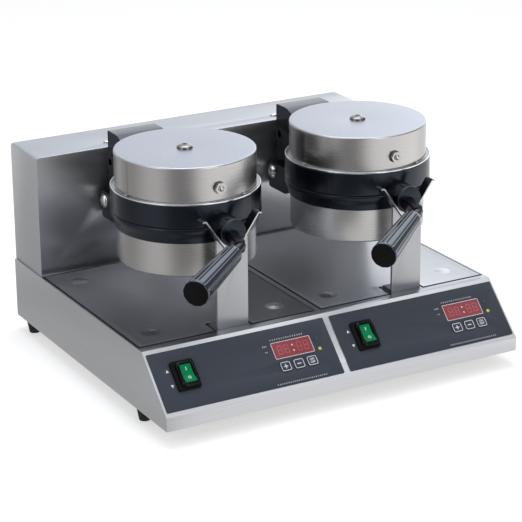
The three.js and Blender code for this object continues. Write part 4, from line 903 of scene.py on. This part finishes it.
# %% [markdown]
# ## Drip trays
# A tray is a shallow pan that lifts out of the deck. Its edge profile, made of steps inwards and upwards,
# is carried round the plan outline, which has a notch for the post. Each tray has four round pressed
# bumps. They could be moved points in the floor, which would need a fine grid all over it. Here they are
# low turned caps in a piece of their own, and their slope is nought at the rim, so they grow out of the
# sheet with no edge.

# %% Tray shapes
UNITS = (("left", -127.0), ("right", 127.0))
FLOOR_HIGH = 1.2
DIMPLE_RADIUS, DIMPLE_TALL = 12.5, 1.0
DIMPLE_X, DIMPLE_Y = (-88, 88), (41.5, 249.5)
NOTCH_HALF, NOTCH_DEEP = 24.75, 27.5


def offset(outline, distance):
    """Moves each edge of a square-cornered outline inwards: a corner moves that far along both normals."""
    edge = np.roll(outline, -1, 0) - outline
    edge = edge / np.linalg.norm(edge, axis=1)[:, None]
    normal = np.stack([-edge[:, 1], edge[:, 0]], 1)
    return outline + (normal + np.roll(normal, 1, 0)) * distance


def pan(outline):
    """Rows of the plan outline, one for each (inset, height) of the edge profile, and two flat end faces."""
    profile = [(0.5, 0), (0.2, 0.1), (0.1, 0.4), (0.1, 2.2), (0.25, 2.5), (0.6, 2.6), (1.4, 2.5), (8, 1.4),
               (9.5, FLOOR_HIGH)]
    rows = [np.column_stack([offset(outline, inset), np.full(len(outline), z)]) for inset, z in profile]
    points = np.concatenate(rows)
    return points, quads(len(rows), len(outline)) + end_faces(len(points), len(outline))


def dimple(x, y):
    """z = floor + h (1 + cos(pi r/R))/2: level at the crown and at the rim."""
    r = np.linspace(DIMPLE_RADIUS, 0, 20)
    top = np.stack([r, FLOOR_HIGH + DIMPLE_TALL * (1 + np.cos(math.pi * r / DIMPLE_RADIUS)) / 2], 1)
    foot = [[0, 0.9], [DIMPLE_RADIUS, 0.9]]
    return shifted(turned(np.concatenate([foot, top]), 64), x, y)


def tray_walls(normals, middles):
    """1 for the rim and its narrow crest, which get painted shade so that they look dark against the deck,
    otherwise 0.
    """
    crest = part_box("drip_tray_left")[0].z + 2.45 * MM
    return (normals[:, 2] < 0.5) | (middles[:, 2] > crest)


print("dimple", len(dimple(0, 0)[0]), "points")

# %% Trays
for side, middle in UNITS:
    low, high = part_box(f"drip_tray_{side}")
    x0, x1, y0, y1 = (value / MM for value in (low.x, high.x, low.y, high.y))
    head_x = joints[f"flip_{side}"]["pos_m"][0] / MM
    notch_x0, notch_x1, notch_y = head_x - NOTCH_HALF, head_x + NOTCH_HALF, y0 + NOTCH_DEEP
    plan = np.array([[x0, y0], [notch_x0, y0], [notch_x0, notch_y], [notch_x1, notch_y], [notch_x1, y0],
                     [x1, y0], [x1, y1], [x0, y1]])
    bumps = [dimple(middle + dx, y0 + dy) for dx in DIMPLE_X for dy in DIMPLE_Y]
    # The bumps carry the painted highlight of the dimple finish.
    make_piece(f"tray_dimples_{side}", bumps, at(0, 0, low.z), f"tray_{side}", [dimple_painted_highlight], crease=50)
    make_piece(f"tray_pan_{side}", [pan(plan)], at(0, 0, low.z), f"tray_{side}", [tray_steel, painted_shade_line],
               [f"drip_tray_{side}"], crease=50, choose=tray_walls)
print("tray", round(x1 - x0, 1), "by", round(y1 - y0, 1), "mm")

# %% [markdown]
# ## Control panels
# Each panel is a printed film on the sloped front. Prints are usually drawn as a picture. Here each mark
# is a shape of its own, 0.1 mm thick, so it stays sharp at any distance. Things on the panel are drawn in
# the slope's own frame: x across, y up the slope, z out of it. The keys have a rounded frame with a plus,
# a bar or the words ON and OFF. Two small arrows stand beside the switch, and rows of plain ticks decorate
# the film round the display and along its foot.

# %% Panel frame and prints
SLOPE_TOP = Vector((0, -0.132033, 0.1005))
FILM_TOP = 1.1
KEY_TOP = FILM_TOP + 1.1
INK = 0.1


def slope_place(middle):
    """The slope's frame for one unit, in millimetres."""
    return at(middle * MM, SLOPE_TOP.y, SLOPE_TOP.z) @ Matrix.Rotation(math.radians(45), 4, "X")


def outline_print(width, length, corner, line, x, y, z):
    """A closed line of even width round a rounded rectangle, as thick as the ink."""
    outer = rounded(rectangle(width, length), corner, 6)
    inner = rounded(rectangle(width - 2 * line, length - 2 * line), max(corner - line, 0.2), 6)
    rows = [np.column_stack([ring, np.full(len(ring), height)])
            for ring, height in ((outer, 0), (outer, INK), (inner, INK), (inner, 0), (outer, 0))]
    return np.concatenate(rows) + [x, y, z], quads(len(rows), len(outer))


def flat_print(outline, x, y, z):
    """A flat mark, as thick as the ink."""
    return shifted(along_z(outline, 0, INK), x, y, z)


def lettering(text, size, x, y, z):
    """Plain letters from Blender's own font, as flat mesh shells about their middle."""
    words = bpy.data.curves.new("words", "FONT")
    words.body = text
    words.size = size
    words.align_x = "CENTER"
    words.align_y = "CENTER"
    words.extrude = INK / 2
    words.offset = 0.02 * size
    holder = bpy.data.objects.new("words", words)
    bpy.context.scene.collection.objects.link(holder)
    mesh = bpy.data.meshes.new_from_object(holder.evaluated_get(bpy.context.evaluated_depsgraph_get()))
    points = np.zeros(len(mesh.vertices) * 3, np.float32)
    mesh.vertices.foreach_get("co", points)
    faces = [list(polygon.vertices) for polygon in mesh.polygons]
    bpy.data.objects.remove(holder)
    return points.reshape(-1, 3).astype(float) + [x, y, z + INK / 2], faces


print("the slope starts", SLOPE_TOP.z, "m above the floor")

# %% Keys and panel marks
KEYS = (("plus", 48.2), ("minus", 67.0), ("start", 85.8))
KEY_Y = -58.4
BAR_LONG, BAR_WIDE = 5.6, 1.3
ARROW = np.array([[-2.1, -1.8], [2.1, -1.8], [0, 2.2]])
ARROW_X, ARROW_UP_Y, ARROW_DOWN_Y = -105, -31.6, -51.5
# Rows of ticks: first x, last x, pitch, distance down the slope, height.
TICKS = ((41, 89, 3.2, 21, 2.0), (29, 101, 3.0, 79.6, 1.7), (28, 33, 2.2, 27.6, 1.8),
         (29, 32, 2.2, 35.4, 1.4))


def key_marks(key, x):
    """The frame of one key with its plus, bar or words."""
    marks = [outline_print(13.4, 11.9, 2.6, 0.8, x, KEY_Y, KEY_TOP)]
    if key == "start":
        return marks + [lettering("ON", 4.0, x, -56.6, KEY_TOP), lettering("OFF", 4.0, x, -60.4, KEY_TOP)]
    marks.append(flat_print(rectangle(BAR_LONG, BAR_WIDE), x, KEY_Y, KEY_TOP))
    if key == "plus":
        marks.append(flat_print(rectangle(BAR_WIDE, BAR_LONG), x, KEY_Y, KEY_TOP))
    return marks


for side, middle in UNITS:
    dress(f"panel_overlay_{side}", film, bevel=0.2)
    dress(f"rocker_frame_{side}", abs_black, bevel=0.5, segments=3)
    for key, x in KEYS:
        dress(f"key_{key}_{side}", film, bevel=0.4, segments=3)
        make_piece(f"print_{key}_{side}", key_marks(key, x), slope_place(middle), f"{key}_{side}",
                   [print_white], crease=30)
    marks = [flat_print(ARROW, ARROW_X, ARROW_UP_Y, FILM_TOP),
             flat_print(ARROW[::-1] * [1, -1], ARROW_X, ARROW_DOWN_Y, FILM_TOP)]
    for first, last, pitch, down, tall in TICKS:
        tick = rectangle(0.7, tall)
        marks += [flat_print(tick, x, -down, FILM_TOP) for x in np.arange(first, last, pitch)]
    make_piece(f"print_panel_{side}", marks, slope_place(middle), "housing", [print_white], crease=30)
print("marks on each film", len(marks))

# %% [markdown]
# ## Display and lamps
# The display is a red window with a white line round it. Four unlit digits show faintly in it, and two
# white dots stand between the second and the third. A font could draw the digits, but a real one is seven
# bars with pointed ends, and a bar is only six corners. A yellow lamp and a small dark one stand beside
# the window.

# %% Display shapes
DISPLAY = (67.0, -36.0)
WINDOW_TOP = FILM_TOP + 0.3
DIGIT_STEPS = (-18, -8.6, 9.5, 19)
DIGIT_PITCH = 5.6


def segment_bar(x, y, upright):
    """A bar with pointed ends: six corners."""
    a, b = BAR_LONG / 2, BAR_WIDE / 2
    outline = np.array([[-a, 0], [b - a, -b], [a - b, -b], [a, 0], [a - b, b], [b - a, b]])
    return flat_print(outline[:, ::-1] * [-1, 1] if upright else outline, x, y, 0)


def digit(x, y, z):
    """Seven bars: three level ones and four upright ones."""
    half = DIGIT_PITCH / 2
    bars = [segment_bar(0, step * DIGIT_PITCH, False) for step in (-1, 0, 1)]
    bars += [segment_bar(across * half, up * half, True) for across in (-1, 1) for up in (-1, 1)]
    return [shifted(bar, x, y, z) for bar in bars]


def round_print(radius, x, y, z):
    """A round dot."""
    return flat_print(arc(0, 0, radius, 0, 345, 23), x, y, z)


print("bars in a digit", len(digit(0, 0, 0)))

# %% Display and lamps
for side, middle in UNITS:
    place = slope_place(middle)
    x, y = DISPLAY
    window = along_z(rounded(rectangle(54, 21, x, y), 1.0), FILM_TOP - 5.7, WINDOW_TOP)
    make_piece(f"window_{side}", [window], place, "housing", [display_red], [f"display_{side}"],
               bevel=0.2, segments=2)
    digits = sum((digit(x + step, y, WINDOW_TOP) for step in DIGIT_STEPS), [])
    make_piece(f"digits_{side}", digits, place, "housing", [digit_red], crease=30)
    marks = [outline_print(55.4, 22.4, 1.6, 1.1, x, y, FILM_TOP + 0.02),
             round_print(1.1, x + 0.4, y + 3.6, WINDOW_TOP), round_print(1.1, x + 0.4, y - 3.8, WINDOW_TOP)]
    make_piece(f"print_display_{side}", marks, place, "housing", [print_white], crease=30)
    make_piece(f"lamp_dome_{side}", [shifted(domed_screw(2.2, 1.3, 6, 2.0), 102.5, -45, FILM_TOP - 0.3)],
               place, "housing", [lamp_yellow], [f"lamp_{side}"], crease=40)
    make_piece(f"lamp_dim_{side}", [shifted(domed_screw(1.7, 0.5, 0.4, 1.0), 102.5, -31, FILM_TOP - 0.2)],
               place, "housing", [lamp_green], crease=40)
print("digit bars", len(digits))

# %% [markdown]
# ## Rocker switch
# The lens of the switch is a green moulding. Its side view has a shallow valley over the pivot, and one
# end is pressed in. Its edges are rounded, and the bevel has a darker finish of its own, which is painted
# shade. A bar and a ring, for on and off, are printed on its two faces. A glossy black bezel with round
# corners stands round the lens.

# %% Rocker shapes
ROCKER_X, ROCKER_Y = -82.0, -41
LENS_HALF_LONG, LENS_HALF_WIDE = 13, 8.1
MARK_TILT, REST_TILT = 12.3, -7


def rocker_outline():
    """Side view (y, z): the underside comes to a ridge, and the top dips by a cosine between its ends."""
    y = np.linspace(LENS_HALF_LONG, -LENS_HALF_LONG, 25)
    top = np.stack([y, 4.2 + 1.8 * (1 - np.cos(math.pi * y / LENS_HALF_LONG)) / 2], 1)
    return np.concatenate([[[-11.5, -3], [0, -6], [11.5, -3]], top])


def rocker_place(middle):
    """The lens turned about its pivot to its rest position."""
    pivot = Matrix.Translation((ROCKER_X, ROCKER_Y, FILM_TOP))
    return slope_place(middle) @ pivot @ Matrix.Rotation(math.radians(REST_TILT), 4, "X")


def bezel():
    """A frame between two rounded rectangles: its section goes up outside, over, and down inside."""
    outer = rounded(rectangle(24.6, 34), 7, 8)
    inner = rounded(rectangle(16.8, 27.4), 3.5, 8)
    section = ((outer, 0), (outer * 0.985, 1.5), (inner * 1.09, 2.6), (inner * 1.02, 2.5), (inner, 1.2),
               (inner, 0), (outer, 0))
    rows = [np.column_stack([ring, np.full(len(ring), z)]) for ring, z in section]
    return np.concatenate(rows), quads(len(rows), len(outer))


def face_mark(mark, sign):
    """A mark laid on the front or back face of the lens."""
    tilt = Matrix.Rotation(math.radians(sign * MARK_TILT), 4, "X")
    return turned_by(mark, Matrix.Translation((0, sign * 6.2, 5.05)) @ tilt)


print("bezel", len(bezel()[0]), "points")

# %% Rockers
for side, middle in UNITS:
    lens = make_piece(f"rocker_lens_{side}", [along_x(rocker_outline(), -LENS_HALF_WIDE, LENS_HALF_WIDE)],
                      rocker_place(middle), f"switch_{side}", [rocker_green, rocker_edge_painted_shade],
                      [f"rocker_{side}"], bevel=2.0, segments=5)
    # The rounded edges take the lens's painted shade.
    lens.modifiers["rounded_edges"].material = 1
    bezel_place = slope_place(middle) @ Matrix.Translation((ROCKER_X, ROCKER_Y, FILM_TOP + 4.2))
    make_piece(f"rocker_bezel_{side}", [bezel()], bezel_place, "housing", [gloss_black], crease=60)
    marks = [face_mark(flat_print(rectangle(1.1, 4.4), 0, 0, 0), 1),
             face_mark(outline_print(4.0, 4.2, 2.1, 0.9, 0, 0, 0), -1)]
    make_piece(f"print_rocker_{side}", marks, rocker_place(middle), f"switch_{side}", [print_white],
               crease=30)
print("lens outline", len(rocker_outline()), "points")

# %% [markdown]
# ## Feet
# Four tapered rubber feet lift the base by 20 mm. A Cone with a bevel would nearly do, but the real foot
# has a different rounding at each end, so its profile is turned.

# %% Feet
FOOT_PROFILE = [[0, 0], [6.2, 0], [6.8, 0.2], [7.1, 0.8], [10.2, 17.6], [10.5, 18.4], [10.5, 20], [3, 20],
                [3, 25], [0, 25]]
for number in range(1, 5):
    low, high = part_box(f"foot_{number}")
    make_piece(f"foot_rubber_{number}", [turned(FOOT_PROFILE)],
               at((low.x + high.x) / 2, (low.y + high.y) / 2, 0), "housing", [rubber], [f"foot_{number}"],
               crease=35)

# %% [markdown]
# ## Floor and room
# The machine stands on a plain white floor in a studio, and the camera sees white round it, with a soft
# shadow in front. Brushed steel shows the room it stands in, and a plain white room made the drums look
# flat. A studio picture wrapped round the scene would show the bands of a real room, but no picture is
# used here. So the room and the far floor that reflections see are brighter in some directions and dimmer
# in others, by two short tables over the compass angle. The light that falls on the machine comes from an
# even world and from three lamps.

# %% Brightness round the machine
# (degrees round the machine, brightness): 0 is straight in front, -90 the left and 90 the right.
FLOOR_LEVELS = [(-180, 1.1), (-165, 1.1), (-150, 0.68), (-120, 0.36), (-85, 0.68), (-70, 0.72), (-50, 0.28),
                (-28, 0.26), (-5, 1.05), (30, 1.12), (80, 1.3), (95, 1.0), (130, 1.3), (180, 1.1)]
ROOM_LEVELS = [(-180, 0.95), (-150, 0.5), (-120, 0.4), (-80, 0.8), (-45, 0.33), (-20, 0.3), (0, 0.34),
               (60, 0.45), (90, 0.26), (106, 0.35), (116, 1.9), (136, 1.9), (150, 1.3), (180, 0.95)]
BRIGHTEST = 2.0


def room_level(tree, vector, levels):
    """A brightness from a table over the angle atan2(x, -y), which is 0 at the front and 90 at the right."""
    parts = add_node(tree, "ShaderNodeSeparateXYZ", {0: vector})
    front = add_node(tree, "ShaderNodeMath", {0: parts.outputs["Y"], 1: -1.0}, operation="MULTIPLY")
    angle = add_node(tree, "ShaderNodeMath", {0: parts.outputs["X"], 1: front.outputs[0]},
                     operation="ARCTAN2")
    share = add_node(tree, "ShaderNodeMapRange", {"Value": angle.outputs[0], "From Min": -math.pi,
                                                  "From Max": math.pi})
    curve = add_node(tree, "ShaderNodeFloatCurve", {"Value": share.outputs["Result"]})
    line = curve.mapping.curves[0]
    for degrees, value in levels[1:-1]:
        line.points.new((degrees + 180) / 360, value / BRIGHTEST)
    line.points[0].location = (0, levels[0][1] / BRIGHTEST)
    line.points[-1].location = (1, levels[-1][1] / BRIGHTEST)
    curve.mapping.update()
    brightness = add_node(tree, "ShaderNodeMath", {0: curve.outputs[0], 1: BRIGHTEST}, operation="MULTIPLY")
    return brightness.outputs[0]


print("brightness steps", len(FLOOR_LEVELS), "on the floor and", len(ROOM_LEVELS), "in the room")

# %% [markdown]
# ## Floor
# The floor is one large square of matt white paper. The camera sees it lifted to white, which could also
# be done with more light, but that would bleach the machine. A reflection sees the paper close to the
# machine dim on the left and nearly white elsewhere, and further out the floor's table takes over.

# %% Floor
FLOOR_HALF = 9
CAMERA_LIFT = 0.45
floor_mesh = bpy.data.meshes.new("floor")
floor_corners = [(x * FLOOR_HALF, y * FLOOR_HALF, 0) for x, y in ((-1, -1), (1, -1), (1, 1), (-1, 1))]
floor_mesh.from_pydata(floor_corners, [], [(0, 1, 2, 3)])
floor = bpy.data.objects.new("floor", floor_mesh)
bpy.context.scene.collection.objects.link(floor)

paper, tree, shader = new_finish("paper_white_matt", "#e6e6e7", roughness=0.9, Specular_IOR_Level=0.0)
rays = add_node(tree, "ShaderNodeLightPath")
lift = add_node(tree, "ShaderNodeMath", {0: rays.outputs["Is Camera Ray"], 1: CAMERA_LIFT},
                operation="MULTIPLY")
shader.inputs["Emission Color"].default_value = (1, 1, 1, 1)
tree.links.new(lift.outputs[0], shader.inputs["Emission Strength"])
here = add_node(tree, "ShaderNodeTexCoord").outputs["Object"]
x_place = add_node(tree, "ShaderNodeSeparateXYZ", {0: here}).outputs["X"]
near = add_node(tree, "ShaderNodeMapRange", {"Value": x_place, "From Min": -0.28, "From Max": -0.2,
                                             "To Min": 0.48, "To Max": 0.92},
                interpolation_type="SMOOTHSTEP")
reach = add_node(tree, "ShaderNodeVectorMath", {0: here}, operation="LENGTH").outputs["Value"]
away = add_node(tree, "ShaderNodeMapRange", {"Value": reach, "From Min": 0.36, "From Max": 0.56},
                interpolation_type="SMOOTHSTEP")
far = room_level(tree, here, FLOOR_LEVELS)
strength = add_node(tree, "ShaderNodeMix", {"Factor": away.outputs["Result"], "A": near.outputs["Result"],
                                            "B": far})
mirrored = add_node(tree, "ShaderNodeEmission", {"Strength": strength.outputs["Result"]})
either = add_node(tree, "ShaderNodeMixShader", {0: rays.outputs["Is Glossy Ray"], 1: shader.outputs[0],
                                                2: mirrored.outputs[0]})
tree.links.new(either.outputs[0], tree.nodes["Material Output"].inputs["Surface"])
floor_mesh.materials.append(paper)
print("floor", 2 * FLOOR_HALF, "m wide,", len(tree.nodes), "nodes")

# %% [markdown]
# ## World
# The world lights the machine evenly. What the camera, a reflection or glass sees of it is another
# brightness: white for the camera, and for the rest the room's table with a bright ceiling overhead.

# %% World
EVEN_LIGHT = 0.6
world = bpy.data.worlds.new("studio")
bpy.context.scene.world = world
world.use_nodes = True
tree = world.node_tree
tree.nodes.clear()
rays = add_node(tree, "ShaderNodeLightPath")
camera_or_mirror = add_node(tree, "ShaderNodeMath", {0: rays.outputs["Is Camera Ray"],
                                                     1: rays.outputs["Is Glossy Ray"]}, operation="MAXIMUM")
is_seen = add_node(tree, "ShaderNodeMath", {0: camera_or_mirror.outputs[0],
                                            1: rays.outputs["Is Transmission Ray"]}, operation="MAXIMUM")
way = add_node(tree, "ShaderNodeTexCoord").outputs["Generated"]
height = add_node(tree, "ShaderNodeSeparateXYZ", {0: way}).outputs["Z"]
ceiling = add_node(tree, "ShaderNodeMapRange", {"Value": height, "From Min": 0.4, "From Max": 0.85,
                                                "To Min": 0.0, "To Max": 1.3},
                   interpolation_type="SMOOTHSTEP")
round_about = room_level(tree, way, ROOM_LEVELS)
room = add_node(tree, "ShaderNodeMath", {0: round_about, 1: ceiling.outputs["Result"]}, operation="MAXIMUM")
shown_level = add_node(tree, "ShaderNodeMath", {0: room.outputs[0], 1: rays.outputs["Is Camera Ray"]},
                       operation="MAXIMUM")
light = add_node(tree, "ShaderNodeBackground", {"Color": (1, 1, 1, 1), "Strength": EVEN_LIGHT})
shown = add_node(tree, "ShaderNodeBackground", {"Color": (0.96, 0.98, 1, 1),
                                                "Strength": shown_level.outputs[0]})
both = add_node(tree, "ShaderNodeMixShader", {0: is_seen.outputs[0], 1: light.outputs[0],
                                              2: shown.outputs[0]})
add_node(tree, "ShaderNodeOutputWorld", {"Surface": both.outputs[0]})
print("world", len(tree.nodes), "nodes")

# %% [markdown]
# ## Soft boxes
# Three soft boxes light the machine: a large one overhead, a little behind it, an upright one in front,
# and a weak one at its left. Point lamps would throw hard shadows and small hot spots in the steel, so
# they are area lamps. The camera doesn't see them, but the steel does.

# %% Soft boxes
LAMP_AIM = (0, 0, 0.15)


def soft_box(name, place, width, height, watts, color=(1, 1, 1)):
    """A rectangular area lamp that looks from its place to the machine's middle."""
    lamp = bpy.data.lights.new(name, "AREA")
    lamp.shape = "RECTANGLE"
    lamp.size = width
    lamp.size_y = height
    lamp.energy = watts
    lamp.color = color
    holder = bpy.data.objects.new(name, lamp)
    holder.location = place
    holder.rotation_euler = (Vector(LAMP_AIM) - Vector(place)).to_track_quat("-Z", "Y").to_euler()
    holder.visible_camera = False
    bpy.context.scene.collection.objects.link(holder)


soft_box("soft_box_overhead", (0.1, 0.3, 1.8), 1.2, 1.0, 11, (0.93, 0.96, 1.0))
soft_box("soft_box_front", (0.35, -2.3, 0.8), 0.8, 1.3, 8)
soft_box("soft_box_left", (-1.9, -0.6, 0.9), 0.8, 1.2, 4, (0.88, 0.94, 1.0))
print("lamps", len(bpy.data.lights))

# %% [markdown]
# ## Colour view
# The render keeps plain colours, with the Standard view transform.

# %% Finish
bpy.context.scene.view_settings.view_transform = "Standard"
